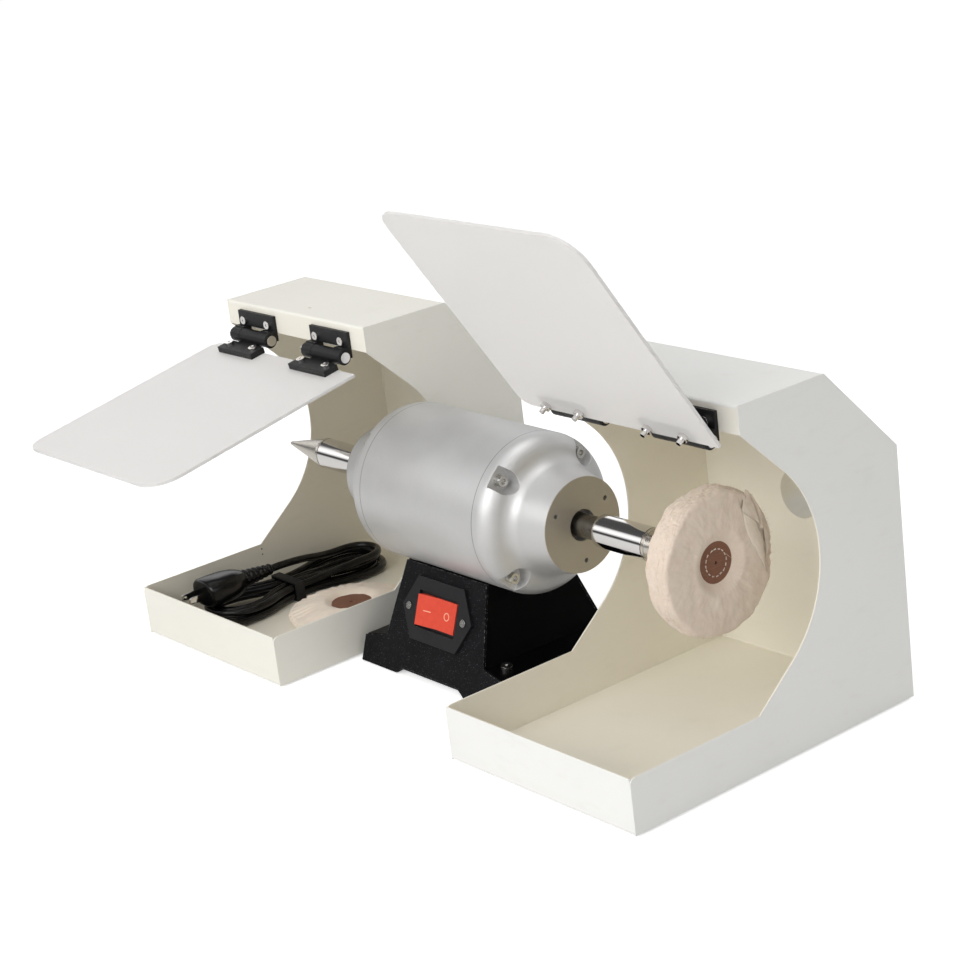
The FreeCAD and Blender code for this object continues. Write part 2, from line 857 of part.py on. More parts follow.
def build_rotor_and_shaft():
    half = s.stator_half_length
    outer = s.stator_bore_radius - s.rotor_gap
    bore = s.shaft_radius + s.run_gap / 2
    ring_end = half + s.rotor_ring_length
    rotor = turned("rotor_core", [
        (-half, bore), (half, bore), (half, s.rotor_ring_inner_radius), (ring_end, s.rotor_ring_inner_radius),
        (ring_end, outer), (-ring_end, outer), (-ring_end, s.rotor_ring_inner_radius),
        (-half, s.rotor_ring_inner_radius)])
    finish("rotor_core", place(rotor, **SPINDLE_LINE))
    journal_end = bell_seat_at + s.washer_thickness
    tip = sleeve_at + s.sleeve_bore_depth - s.slip_gap
    shaft = turned("motor_shaft", [
        (-tip, 0), (tip, 0), (tip, s.spindle_radius), (journal_end, s.spindle_radius),
        (journal_end, s.bearing_bore_radius), (bearing_at, s.bearing_bore_radius),
        (bearing_at, s.shaft_radius), (-bearing_at, s.shaft_radius),
        (-bearing_at, s.bearing_bore_radius), (-journal_end, s.bearing_bore_radius),
        (-journal_end, s.spindle_radius), (-tip, s.spindle_radius)])
    finish("motor_shaft", place(shaft, **SPINDLE_LINE))


BALL_COUNT = 9


def bearing_places():
    middle = bearing_at + s.bearing_width / 2
    return [spot(x=side * middle, z=axis_height) for side in (-1, 1)]


def build_bearings():
    half = s.bearing_width / 2
    groove = s.ball_radius + s.groove_gap
    groove_half = root(groove * groove - s.bearing_land * s.bearing_land)
    outer_land = s.bearing_pitch_radius + s.bearing_land
    inner_land = s.bearing_pitch_radius - s.bearing_land
    outer = turned("bearing_outer_ring", [
        (-half, s.bearing_outer_radius), (-half, outer_land), (-groove_half, outer_land, -groove),
        (groove_half, outer_land), (half, outer_land), (half, s.bearing_outer_radius)])
    bore = s.bearing_bore_radius + s.run_gap / 2
    inner = turned("bearing_inner_ring", [
        (-half, bore), (half, bore), (half, inner_land), (groove_half, inner_land, -groove),
        (-groove_half, inner_land), (-half, inner_land)])
    finish("bearing_outer_rings", copies("bearing_outer_ring_set", outer, bearing_places()))
    finish("bearing_inner_rings", copies("bearing_inner_ring_set", inner, bearing_places()))
    ball = doc.addObject("Part::Sphere", "bearing_ball")
    bind(ball, "Radius", s.ball_radius)
    around = [Placement(Vector(), Rotation(ACROSS, 360 / BALL_COUNT * number)).multiply(
        spot(y=s.bearing_pitch_radius)) for number in range(BALL_COUNT)]
    places = [side.multiply(turn) for side in bearing_places() for turn in around]
    finish("bearing_balls", copies("bearing_ball_set", ball, places))


# Chrome sleeves on the shaft ends, their set screws and the tapered spindles

def build_sleeves():
    bore = s.spindle_radius + s.run_gap
    floor = sleeve_at + s.sleeve_bore_depth
    shank_bore = s.taper_shank_radius + s.run_gap
    tube = turned("sleeve_turned", [
        (sleeve_at, bore), (floor, bore), (floor, shank_bore), (sleeve_end, shank_bore),
        (sleeve_end, s.sleeve_radius), (sleeve_at, s.sleeve_radius)])
    hole = doc.addObject("Part::Cylinder", "set_screw_hole")
    bind(hole, "Radius", s.set_screw_radius + s.run_gap)
    bind(hole, "Height", s.overrun)
    screw_places = (sleeve_at + s.set_screw_inset, sleeve_end - s.set_screw_inset)
    holes = copies("set_screw_holes", hole, [spot(x=x, z=-s.overrun) for x in screw_places])
    right = place(boolean("Cut", "sleeve_bored", tube, holes), **SPINDLE_LINE)
    finish("spindle_sleeve_right", right)
    finish("spindle_sleeve_left", mirrored("sleeve_mirrored", right))
    screws = []
    for x, foot in zip(screw_places, (s.spindle_radius, s.taper_shank_radius)):
        length = s.sleeve_radius - s.set_screw_sink - foot - s.run_gap
        screw = turned("set_screw", [
            (0, 0), (0, s.set_screw_radius), (length, s.set_screw_radius), (length, s.set_screw_socket),
            (length - s.set_screw_socket, s.set_screw_socket), (length - s.set_screw_socket, 0)])
        low = axis_height - foot - s.run_gap
        screws += [copies("set_screw_%s" % side, screw, [
            spot(x=side * x, z=low, axis=ALONG, angle=90)]) for side in (-1, 1)]
    group = doc.addObject("Part::Compound", "set_screw_set")
    group.Links = screws
    finish("sleeve_set_screws", group)


def taper_profile(length):
    shank_start = sleeve_end - s.taper_shank_length
    neck_end = sleeve_end + s.taper_neck_length
    ring_end = neck_end + s.taper_ring_length
    tip = ring_end + length
    return [
        (shank_start, 0), (shank_start, s.taper_shank_radius), (sleeve_end, s.taper_shank_radius),
        (sleeve_end, s.taper_neck_radius), (neck_end, s.taper_neck_radius), (neck_end, s.sleeve_radius),
        (ring_end, s.sleeve_radius), (ring_end, s.taper_base_radius),
        (tip - s.taper_tip_radius, s.taper_tip_radius), (tip, s.taper_tip_radius / 2), (tip, 0)]


def build_tapers():
    right = turned("taper_right", taper_profile(s.taper_right_length))
    finish("taper_spindle_right", place(right, **SPINDLE_LINE))
    left = place(turned("taper_left_source", taper_profile(s.taper_left_length)), **SPINDLE_LINE)
    finish("taper_spindle_left", mirrored("taper_left", left))


# Buffs: a ring of muslin gripped by a hub of two fibre discs

def buff_profile(radius, half_width):
    """Section of the cloth about its own middle plane, thin at the hub and full at the rim."""
    inner = s.hub_core_radius + s.run_gap
    edge = s.hub_radius + s.seat_gap
    right = [
        (s.buff_pinch, inner), (s.buff_pinch, edge), (s.buff_lip, edge),
        (half_width, s.buff_swell_radius), (half_width, radius - s.buff_rim_half_width),
        (s.buff_rim_half_width, radius)]
    return right + [(-x, r) for x, r in reversed(right)]


def hub_profile(bore_at):
    """Section of the hub: two discs on one core, with a bore that follows the taper."""
    disc_end = s.buff_pinch + s.slip_gap + s.hub_disc
    disc_start = s.buff_pinch + s.slip_gap
    return [
        (-disc_end, bore_at(-disc_end)), (disc_end, bore_at(disc_end)), (disc_end, s.hub_radius),
        (disc_start, s.hub_radius), (disc_start, s.hub_core_radius), (-disc_start, s.hub_core_radius),
        (-disc_start, s.hub_radius), (-disc_end, s.hub_radius)]


def build_mounted_buff():
    ring_end = sleeve_end + s.taper_neck_length + s.taper_ring_length
    tip_at = ring_end + s.taper_right_length - s.taper_tip_radius
    slope = (s.taper_base_radius - s.taper_tip_radius) / (tip_at - ring_end)

    def taper_bore(x):
        return s.taper_base_radius - (buff_middle_at + x - ring_end) * slope + s.slip_gap

    middle = {"x": buff_middle_at, "z": axis_height}
    cloth = turned("polishing_buff", buff_profile(s.buff_radius, s.buff_half_width))
    finish("polishing_buff", place(cloth, **middle))
    finish("buff_hub", place(turned("buff_hub", hub_profile(taper_bore)), **middle))


# Pedestal of folded sheet: leaning front and rear plates between two bent sides

lean_length = root(1 + s.pedestal_lean_share * s.pedestal_lean_share)
lean_cosine = 1 / lean_length
lean_sine = s.pedestal_lean_share / lean_length
lean_turn = 90 - arctan(s.pedestal_lean_share)
wall_slope = (s.wall_foot_half - s.pedestal_top_half) / (s.pedestal_top - s.wall_foot_height)
ledge_slope = (s.wall_foot_height - s.ledge_end_height) / (s.pedestal_half_width - s.wall_foot_half)


def wall_half(z):
    """Half width of the pedestal's wall, outside, at a height."""
    return s.pedestal_top_half + (s.pedestal_top - z) * wall_slope


def inner_depth(z):
    """How far the inner faces of the leaning plates are from the middle at a height."""
    return s.pedestal_half_depth - s.pedestal_lean_share * z - s.pedestal_sheet * lean_length - s.slip_gap


def on_front_plate(thing, x=0, up=0, out=0):
    """Places a thing by the front plate's own axes: across, up along it and outward."""
    return place(thing, x=x, y=-s.pedestal_half_depth + up * lean_sine - out * lean_cosine,
                 z=up * lean_cosine + out * lean_sine, axis=ACROSS, angle=lean_turn)


def front_plate_spot(x, up, out, turn=Rotation()):
    y = -s.pedestal_half_depth + up * lean_sine - out * lean_cosine
    frame = spot(x=x, y=y, z=up * lean_cosine + out * lean_sine, axis=ACROSS, angle=lean_turn)
    return frame.multiply(Placement(Vector(), turn))


def plate_outline():
    foot = s.pedestal_lift * lean_length
    right = [
        (s.notch_half, foot + s.notch_rise), (s.notch_half_foot, foot), (s.pedestal_half_width, foot),
        (s.pedestal_half_width, s.ledge_end_height * lean_length),
        (s.wall_foot_half, s.wall_foot_height * lean_length),
        (s.pedestal_top_half, s.pedestal_top * lean_length)]
    return right + [(-x, up) for x, up in reversed(right)]


def motor_relief(name, gap):
    """The motor's body with a gap round it, for cutting what carries it."""
    motor = doc.addObject("Part::Cylinder", name)
    bind(motor, "Radius", s.body_radius + gap)
    bind(motor, "Height", s.body_half_length * 2)
    return place(motor, x=-s.body_half_length, z=axis_height, axis=ALONG, angle=90)


def build_pedestal_plates():
    plates = {}
    for name in ("front", "rear"):
        plate = padded(name + "_plate_plain", "XY_Plane", plate_outline(), s.pedestal_sheet,
                       start=-s.pedestal_sheet)
        plates[name] = boolean("Cut", name + "_plate_relieved", on_front_plate(plate),
                               motor_relief(name + "_relief", s.seat_gap))
    window = padded("switch_cutout", "XY_Plane", rectangle(
        s.housing_half_width + s.slip_gap, s.housing_half_height + s.slip_gap), s.overrun, middle=True,
        circles=[(side * s.plate_screw_x, 0, s.plate_screw_radius + s.run_gap) for side in (-1, 1)])
    on_front_plate(window, up=s.switch_height)
    finish("pedestal_front_plate", boolean("Cut", "pedestal_front_plate", plates["front"], window))
    cutout = padded("inlet_cutout", "XY_Plane", rectangle(
        s.inlet_half_width + s.slip_gap, s.inlet_half_height + s.slip_gap), s.overrun, middle=True)
    on_front_plate(cutout, up=s.inlet_height)
    rear = boolean("Cut", "rear_plate_cut", plates["rear"], cutout)
    finish("pedestal_rear_plate", mirrored("pedestal_rear_plate", rear, ALONG))


def ledge_screw_spots(side):
    """Where the ledge screws sit, turned square to the sloping ledge."""
    z = s.wall_foot_height - (s.ledge_screw_x - s.wall_foot_half) * ledge_slope
    tilt = side * float(arctan(ledge_slope)) - 90
    return [spot(x=side * s.ledge_screw_x, y=front * s.ledge_screw_y, z=z, axis=ALONG, angle=tilt)
            for front in (-1, 1)]


def build_pedestal_sides():
    top = s.pedestal_top + s.body_wall
    outer = [(wall_half(top), top), (s.wall_foot_half, s.wall_foot_height),
             (s.pedestal_half_width, s.ledge_end_height), (s.pedestal_half_width, s.pedestal_lift)]
    inner = offset_path(outer, -s.pedestal_sheet)
    bent = padded("side_bent", "XZ_Plane", outer + inner[::-1], s.pedestal_half_depth * 2, middle=True)
    wedge = padded("side_wedge", "YZ_Plane", [
        (-inner_depth(0), 0), (inner_depth(0), 0), (inner_depth(top), top), (-inner_depth(top), top)],
        s.pedestal_half_width * 2 + s.overrun, middle=True)
    trimmed = boolean("Cut", "side_trimmed", boolean("Common", "side_between", bent, wedge),
                      motor_relief("side_relief", s.seat_gap))
    hole = rod("ledge_hole", -s.overrun / 2, s.overrun / 2, s.ledge_screw_radius + s.slip_gap)
    holes = copies("ledge_holes", hole, ledge_screw_spots(1))
    right = finish("pedestal_side_right", boolean("Cut", "pedestal_side_right", trimmed, holes))
    finish("pedestal_side_left", mirrored("pedestal_side_left", right))
    screw = turned("base_screw", bolt_profile(
        -s.ledge_screw_length, s.slip_gap, s.ledge_screw_head, s.ledge_screw_head_height,
        s.ledge_screw_radius, s.bolt_socket_radius / 2, s.washer_thickness))
    finish("base_screws", copies("base_screw_set", screw, ledge_screw_spots(1) + ledge_screw_spots(-1)))


def build_base_plate():
    floor = s.foot_height
    half_width = s.pedestal_half_width - s.pedestal_sheet - s.base_gap
    half_depth = inner_depth(floor + s.base_sheet) - s.base_gap
    holes = [(side * s.ledge_screw_x, front * s.ledge_screw_y) for side in (-1, 1) for front in (-1, 1)]
    plate = padded("pedestal_base_plate", "XY_Plane", rectangle(half_width, half_depth), s.base_sheet)
    under = s.wall_foot_height - (s.ledge_screw_x + s.boss_radius - s.wall_foot_half) * ledge_slope
    boss_top = under - s.pedestal_sheet * root(1 + ledge_slope * ledge_slope) - s.seat_gap
    added(plate, "XY_Plane", boss_top - floor, circles=[(x, y, s.boss_radius) for x, y in holes])
    pocketed(plate, "XY_Plane", s.overrun, circles=[(x, y, s.boss_hole_radius) for x, y in holes],
             start=s.base_sheet, reverse=True)
    finish("pedestal_base_plate", place(plate, z=floor))


def build_feet():
    foot = doc.addObject("Part::Cylinder", "pedestal_foot")
    bind(foot, "Radius", s.foot_radius)
    bind(foot, "Height", s.foot_height)
    inset_x = s.pedestal_half_width - s.foot_inset
    inset_y = s.pedestal_half_depth - s.foot_inset
    pads = [copies("pedestal_feet", foot, [
        spot(x=side * inset_x, y=front * inset_y) for side in (-1, 1) for front in (-1, 1)])]
    hood_foot = doc.addObject("Part::Cylinder", "hood_foot_pad")
    bind(hood_foot, "Radius", s.hood_foot_radius)
    bind(hood_foot, "Height", s.hood_foot)
    reach = s.hood_width / 2 - s.hood_foot_inset
    depths = (s.hood_front_at + s.hood_foot_inset, s.hood_front_at + s.hood_depth - s.hood_foot_inset)
    pads.append(copies("hood_feet", hood_foot, [
        spot(x=middle + side * reach, y=y) for middle in HOODS.values() for side in (-1, 1) for y in depths]))
    group = doc.addObject("Part::Compound", "foot_group")
    group.Links = pads
    finish("rubber_feet", group)


def build_saddle():
    def inner_half(z):
        return wall_half(z) - s.pedestal_sheet * root(1 + wall_slope * wall_slope) - s.slip_gap

    low, high = inner_half(s.saddle_bottom), inner_half(s.saddle_top)
    block = padded("saddle_block", "XZ_Plane", [
        (-low, s.saddle_bottom), (low, s.saddle_bottom), (high, s.saddle_top), (-high, s.saddle_top)],
        s.saddle_half_depth * 2, middle=True)
    seated = boolean("Cut", "saddle_seated", block, motor_relief("saddle_relief", s.slip_gap))
    hole = doc.addObject("Part::Cylinder", "saddle_hole")
    bind(hole, "Radius", s.bolt_hole_radius)
    bind(hole, "Height", s.overrun)
    places = [spot(x=side * s.saddle_bolt_x, z=s.saddle_bottom) for side in (-1, 1)]
    holes = copies("saddle_holes", hole, [spot(z=-s.seat_gap).multiply(one) for one in places])
    finish("motor_saddle", boolean("Cut", "motor_saddle", seated, holes))
    tip = s.motor_seat_height + s.saddle_bolt_bite - s.saddle_bottom
    bolt = turned("saddle_bolt", bolt_profile(-tip, 0, s.bolt_head_radius, s.bolt_head_height,
                                              s.bolt_radius, s.bolt_socket_radius, s.bolt_socket_depth))
    downward = Placement(Vector(), Rotation(ALONG, 90))
    finish("saddle_bolts", copies("saddle_bolt_set", bolt, [one.multiply(downward) for one in places]))


# Switch: hexagonal plate, housing and rocker on the front plate

def build_switch_plate():
    half, top_half, rise = s.switch_plate_half, s.switch_plate_top_half, s.switch_plate_half_height
    corners = [
        (half, 0), (top_half, rise), (-top_half, rise), (-half, 0), (-top_half, -rise), (top_half, -rise)]
    plate = padded("switch_plate", "XY_Plane", corners, s.switch_plate_sheet, circles=[
        (side * s.plate_screw_x, 0, s.plate_screw_radius + s.slip_gap) for side in (-1, 1)])
    pocketed(plate, "XY_Plane", s.switch_plate_sheet * 2, start=s.switch_plate_sheet, profile=rectangle(
        s.bezel_half_width + s.slip_gap, s.bezel_half_height + s.slip_gap))
    finish("switch_plate", on_front_plate(plate, up=s.switch_height))
    screw = turned("switch_plate_screw", bolt_profile(
        s.switch_plate_sheet - s.plate_screw_length, s.switch_plate_sheet, s.plate_screw_head,
        s.plate_screw_head_height, s.plate_screw_radius, s.plate_screw_radius / 2, s.washer_thickness))
    outward = Rotation(ALONG, -90)
    finish("switch_plate_screws", copies("switch_plate_screw_set", screw, [
        front_plate_spot(side * s.plate_screw_x, s.switch_height, 0, outward) for side in (-1, 1)]))


def build_switch_housing():
    housing = padded("switch_housing", "XY_Plane", rectangle(s.bezel_half_width, s.bezel_half_height),
                     s.bezel_height)
    added(housing, "XY_Plane", s.housing_depth, start=-s.housing_depth, profile=rectangle(
        s.housing_half_width, s.housing_half_height))
    pocketed(housing, "XY_Plane", s.window_depth, start=s.bezel_height, profile=rectangle(
        s.window_half_width, s.window_half_height))
    pocketed(housing, "XZ_Plane", s.housing_half_height * 3, middle=True, circles=[
        (0, -s.rocker_pivot_depth, s.rocker_pin_radius + s.run_gap)])
    finish("switch_housing", on_front_plate(housing, up=s.switch_height))


def build_rocker():
    """The rocker, turned about its pivot so that its right half is pressed in."""
    edge_foot = s.rocker_end_height - s.rocker_edge
    square = [
        (-s.rocker_half_width, s.rocker_end_height), (-s.rocker_half_width, edge_foot),
        (-s.rocker_root_half, -s.rocker_root_depth), (s.rocker_root_half, -s.rocker_root_depth),
        (s.rocker_half_width, edge_foot), (s.rocker_half_width, s.rocker_end_height),
        (as_size(0), s.rocker_middle_height)]
    along, down = cosine(s.rocker_throw), sine(s.rocker_throw)
    profile = []
    for x, height in square:
        lever = height + s.rocker_pivot_depth
        profile.append((x * along + lever * down, lever * along - x * down - s.rocker_pivot_depth))
    half = s.window_half_height - s.seat_gap
    rocker = padded("switch_rocker", "XZ_Plane", profile, half * 2, middle=True)
    added(rocker, "XZ_Plane", (s.housing_half_height - s.slip_gap) * 2, middle=True, circles=[
        (0, -s.rocker_pivot_depth, s.rocker_pin_radius)])
    finish("switch_rocker", on_front_plate(rocker, up=s.switch_height))


def build_capacitor_and_terminals():
    base = s.foot_height + s.base_sheet + s.seat_gap
    half, rim = s.capacitor_half_length, s.capacitor_rim
    can = turned("run_capacitor", [
        (-half, 0), (-half, s.capacitor_radius - rim), (rim - half, s.capacitor_radius),
        (half - rim, s.capacitor_radius), (half, s.capacitor_radius - rim), (half, 0)])
    finish("run_capacitor", place(can, y=s.capacitor_y, z=base + s.capacitor_radius))
    block = padded("terminal_block", "XY_Plane", rectangle(s.terminal_half_length, s.terminal_depth / 2),
                   s.terminal_height, circles=[
        (share * s.terminal_half_length, 0, s.terminal_hole_radius) for share in TERMINAL_SHARES])
    finish("terminal_block", place(block, y=s.terminal_y, z=base))


TERMINAL_SHARES = (-0.75, -0.25, 0.25, 0.75)


def build_inlet():
    inlet = padded("mains_inlet_front", "XY_Plane", rectangle(
        s.inlet_flange_half_width, s.inlet_flange_half_height), s.inlet_flange)
    added(inlet, "XY_Plane", s.inlet_depth, start=-s.inlet_depth, profile=rectangle(
        s.inlet_half_width, s.inlet_half_height))
    pocketed(inlet, "XY_Plane", s.inlet_cavity_depth, start=s.inlet_flange, profile=rectangle(
        s.inlet_cavity_half_width, s.inlet_cavity_half_height))
    for step in (-1, 0, 1):
        added(inlet, "XY_Plane", s.inlet_pin_length, start=s.inlet_flange - s.inlet_cavity_depth,
              profile=rectangle(s.inlet_pin_half_width, s.inlet_pin_half_height, x=step * s.inlet_pin_pitch,
                                y=(1 - abs(step)) * s.inlet_pin_half_height))
    placed = on_front_plate(inlet, up=s.inlet_height)
    finish("mains_inlet", mirrored("mains_inlet", placed, ALONG))


# Splash hoods: a bent shell between two side panels, each on four rubber pads

HOODS = {"left": -s.body_half_length - s.hood_left_clearance - s.hood_width / 2,
         "right": s.body_half_length + s.hood_right_clearance + s.hood_width / 2}
hinge_pitch_half = s.hood_width / 2 - s.hinge_inset
hood_lip_bottom = s.hood_height - s.hood_lip


HINGE_SIDES = (-1, 1)


def hinge_screw_places():
    """How far each hinge screw of a hood is from the hood's middle."""
    return [hinge * hinge_pitch_half + screw * s.hinge_screw_pitch_half
            for hinge in HINGE_SIDES for screw in HINGE_SIDES]


def hood_path():
    """Outside of the bent shell, from the lip over the top and round to the tray's front edge."""
    return [
        (s.hood_top_front, hood_lip_bottom), (s.hood_top_front, s.hood_height),
        (s.hood_top_rear, s.hood_height), (s.hood_depth, s.hood_rear_height),
        (s.hood_depth, s.hood_foot), (as_size(0), s.hood_foot), (as_size(0), s.tray_height)]


def touch_point(point, side):
    """Where the straight edge from a corner of the mouth meets the mouth's arc."""
    dy, dz = point[0] - s.hood_mouth_y, point[1] - s.hood_mouth_z
    square = dy * dy + dz * dz
    reach = s.hood_mouth_radius * s.hood_mouth_radius / square
    across = side * s.hood_mouth_radius * root(square - s.hood_mouth_radius * s.hood_mouth_radius) / square
    return (s.hood_mouth_y + dy * reach - dz * across, s.hood_mouth_z + dz * reach + dy * across)


def build_hood(side, middle):
    path = hood_path()
    inner = offset_path(path, -s.hood_sheet)
    shell = padded("hood_%s_shell" % side, "YZ_Plane", path + inner[::-1],
                   s.hood_width - s.hood_sheet * 2, middle=True)
    pocketed(shell, "XZ_Plane", s.overrun, middle=True, start=-s.hood_depth,
             circles=[(0, s.port_height, s.port_radius)])
    pocketed(shell, "XZ_Plane", s.overrun / 2, middle=True, start=-s.hood_top_front, circles=[
        (x, s.lip_screw_height, s.hinge_screw_radius + s.run_gap) for x in hinge_screw_places()])
    pocketed(shell, "XY_Plane", s.overrun, middle=True, start=s.hood_height,
             circles=[(0, s.small_hole_y, s.small_hole_radius)])
    filleted(shell, s.hood_bend_radius, edge_at(ACROSS, *[(0, y, z) for y, z in path[1:-1]]))
    filleted(shell, s.hood_bend_radius - s.hood_sheet, edge_at(ACROSS, *[(0, y, z) for y, z in inner[1:-1]]))
    finish("hood_%s_shell" % side, place(shell, x=middle, y=s.hood_front_at))
    high = touch_point(path[0], -1)
    low = touch_point((s.tray_end, s.tray_height), 1)
    outline = [path[5], path[4], path[3], path[2], path[1], path[0], (high[0], high[1], -s.hood_mouth_radius),
               low, (s.tray_end, s.tray_height), path[6]]
    edges = {"left": -s.hood_width / 2, "right": s.hood_width / 2 - s.hood_sheet}
    for edge, start in edges.items():
        name = "hood_%s_%s_panel" % (side, "outer" if edge == side else "inner")
        panel = padded(name, "YZ_Plane", outline, s.hood_sheet, start=start)
        filleted(panel, s.tray_corner_radius, edge_at(ACROSS, (0, path[6][0], path[6][1])))
        finish(name, place(panel, x=middle, y=s.hood_front_at))


def build_dust_spigots():
    """A short tube behind the round hole of each hood, for a suction hose."""
    tube = ring("dust_spigot", as_size(0), s.dust_spigot_length, s.port_radius + s.hood_sheet, s.port_radius)
    rear = s.hood_front_at + s.hood_depth
    finish("dust_spigots", copies("dust_spigot_pair", tube, [
        spot(x=middle, y=rear, z=s.port_height, axis=UP, angle=90) for middle in HOODS.values()]))


# Hinges: fixed leaves on the lip, moving leaves on the shield, a pin through both.
# Each hinge is made about its own pivot, with the shield level towards the operator

pivot_y = s.hood_front_at + s.hood_top_front - s.pivot_gap


def block_at(name, x, y, z, width, depth, height):
    block = doc.addObject("Part::Box", name)
    bind(block, "Length", width)
    bind(block, "Width", depth)
    bind(block, "Height", height)
    return place(block, x=x, y=y, z=z)


def build_fixed_leaf():
    half, top = s.leaf_half_width, s.leaf_top - s.pivot_height
    bottom = s.leaf_bottom - s.pivot_height
    pieces = [block_at(
        "leaf_plate", -half, s.pivot_gap - s.leaf_sheet, bottom, half * 2, s.leaf_sheet, top - bottom)]
    near = s.knuckle_half_width + s.knuckle_gap
    for name, start in (("left", -half), ("right", near)):
        pieces.append(rod("ear_" + name, start, start + half - near, s.knuckle_radius))
        pieces.append(block_at("ear_web_" + name, start, as_size(0), -s.ear_web_drop, half - near, s.pivot_gap,
                               bottom + s.ear_web_drop + s.slip_gap))
    bore = rod("leaf_bore", -half - s.overrun, half + s.overrun, s.pin_radius + s.run_gap)
    leaf = boolean("Cut", "fixed_leaf_bored", fused("fixed_leaf_solid", pieces), bore)
    hole = rod("leaf_screw_hole", -s.overrun, s.overrun, s.hinge_screw_radius + s.run_gap)
    holes = copies("leaf_screw_holes", hole, [
        spot(x=side * s.hinge_screw_pitch_half, z=s.lip_screw_height - s.pivot_height, axis=UP, angle=90)
        for side in HINGE_SIDES])
    return boolean("Cut", "fixed_leaf", leaf, holes)


def build_moving_leaf():
    knuckle_radius = s.knuckle_radius - s.slip_gap
    top = s.moving_leaf_thickness - s.shield_drop
    reach = s.moving_leaf_far - s.moving_leaf_near
    pieces = [
        rod("knuckle", -s.knuckle_half_width, s.knuckle_half_width, knuckle_radius),
        block_at("moving_leaf_plate", -s.moving_leaf_half_width, -s.moving_leaf_far, -s.shield_drop,
                 s.moving_leaf_half_width * 2, reach, s.moving_leaf_thickness),
        block_at("knuckle_web", -s.knuckle_half_width, -s.moving_leaf_near - s.slip_gap, -knuckle_radius,
                 s.knuckle_half_width * 2, s.moving_leaf_near + s.slip_gap, knuckle_radius + top)]
    bore = rod("knuckle_bore", -s.overrun * 2, s.overrun * 2, s.pin_radius + s.run_gap)
    leaf = boolean("Cut", "moving_leaf_bored", fused("moving_leaf_solid", pieces), bore)
    hole = rod("moving_leaf_hole", -s.overrun, s.overrun, s.hinge_screw_radius + s.run_gap)
    holes = copies("moving_leaf_holes", hole, [
        spot(x=side * s.hinge_screw_pitch_half, y=-s.hinge_screw_reach, axis=ALONG, angle=-90)
        for side in HINGE_SIDES])
    return boolean("Cut", "moving_leaf", leaf, holes)


def build_pin():
    half = s.leaf_half_width + s.slip_gap
    return turned("hinge_pin", [
        (-half - s.tension_head_height, 0), (-half - s.tension_head_height, s.tension_head_radius),
        (-half, s.tension_head_radius), (-half, s.pin_radius), (half, s.pin_radius),
        (half, s.pin_head_radius), (half + s.pin_head_height, s.pin_head_radius), (half + s.pin_head_height, 0)])


def hinge_screw(name, length):
    return turned(name, bolt_profile(-length, 0, s.hinge_screw_head, s.hinge_screw_head_height,
                                     s.hinge_screw_radius, s.hinge_screw_radius / 2, s.washer_thickness))


def build_hinge_nut():
    hexagon = doc.addObject("Part::Prism", "hinge_nut_hexagon")
    hexagon.Polygon = 6
    bind(hexagon, "Circumradius", s.hinge_nut_radius)
    bind(hexagon, "Height", s.hinge_nut_height)
    bore = doc.addObject("Part::Cylinder", "hinge_nut_bore")
    bind(bore, "Radius", s.hinge_screw_radius + s.run_gap)
    bind(bore, "Height", s.hinge_nut_height)
    return boolean("Cut", "hinge_nut", hexagon, bore)


def build_shield(side):
    half = s.shield_width / 2
    holes = [(x, -s.hinge_screw_reach, s.hinge_screw_radius + s.run_gap) for x in hinge_screw_places()]
    bottom = -s.shield_drop - s.shield_sheet
    shield = padded("shield_%s" % side, "XY_Plane", [
        (-half, -s.shield_far), (half, -s.shield_far), (half, -s.shield_near), (-half, -s.shield_near)],
        s.shield_sheet, start=bottom, circles=holes)
    filleted(shield, s.shield_big_corner, edge_at(UP, (half, -s.shield_far, 0)))
    filleted(shield, s.shield_small_corner, edge_at(UP, (-half, -s.shield_far, 0)))
    filleted(shield, s.shield_hinge_corner, edge_at(UP, (-half, -s.shield_near, 0)))
    return shield


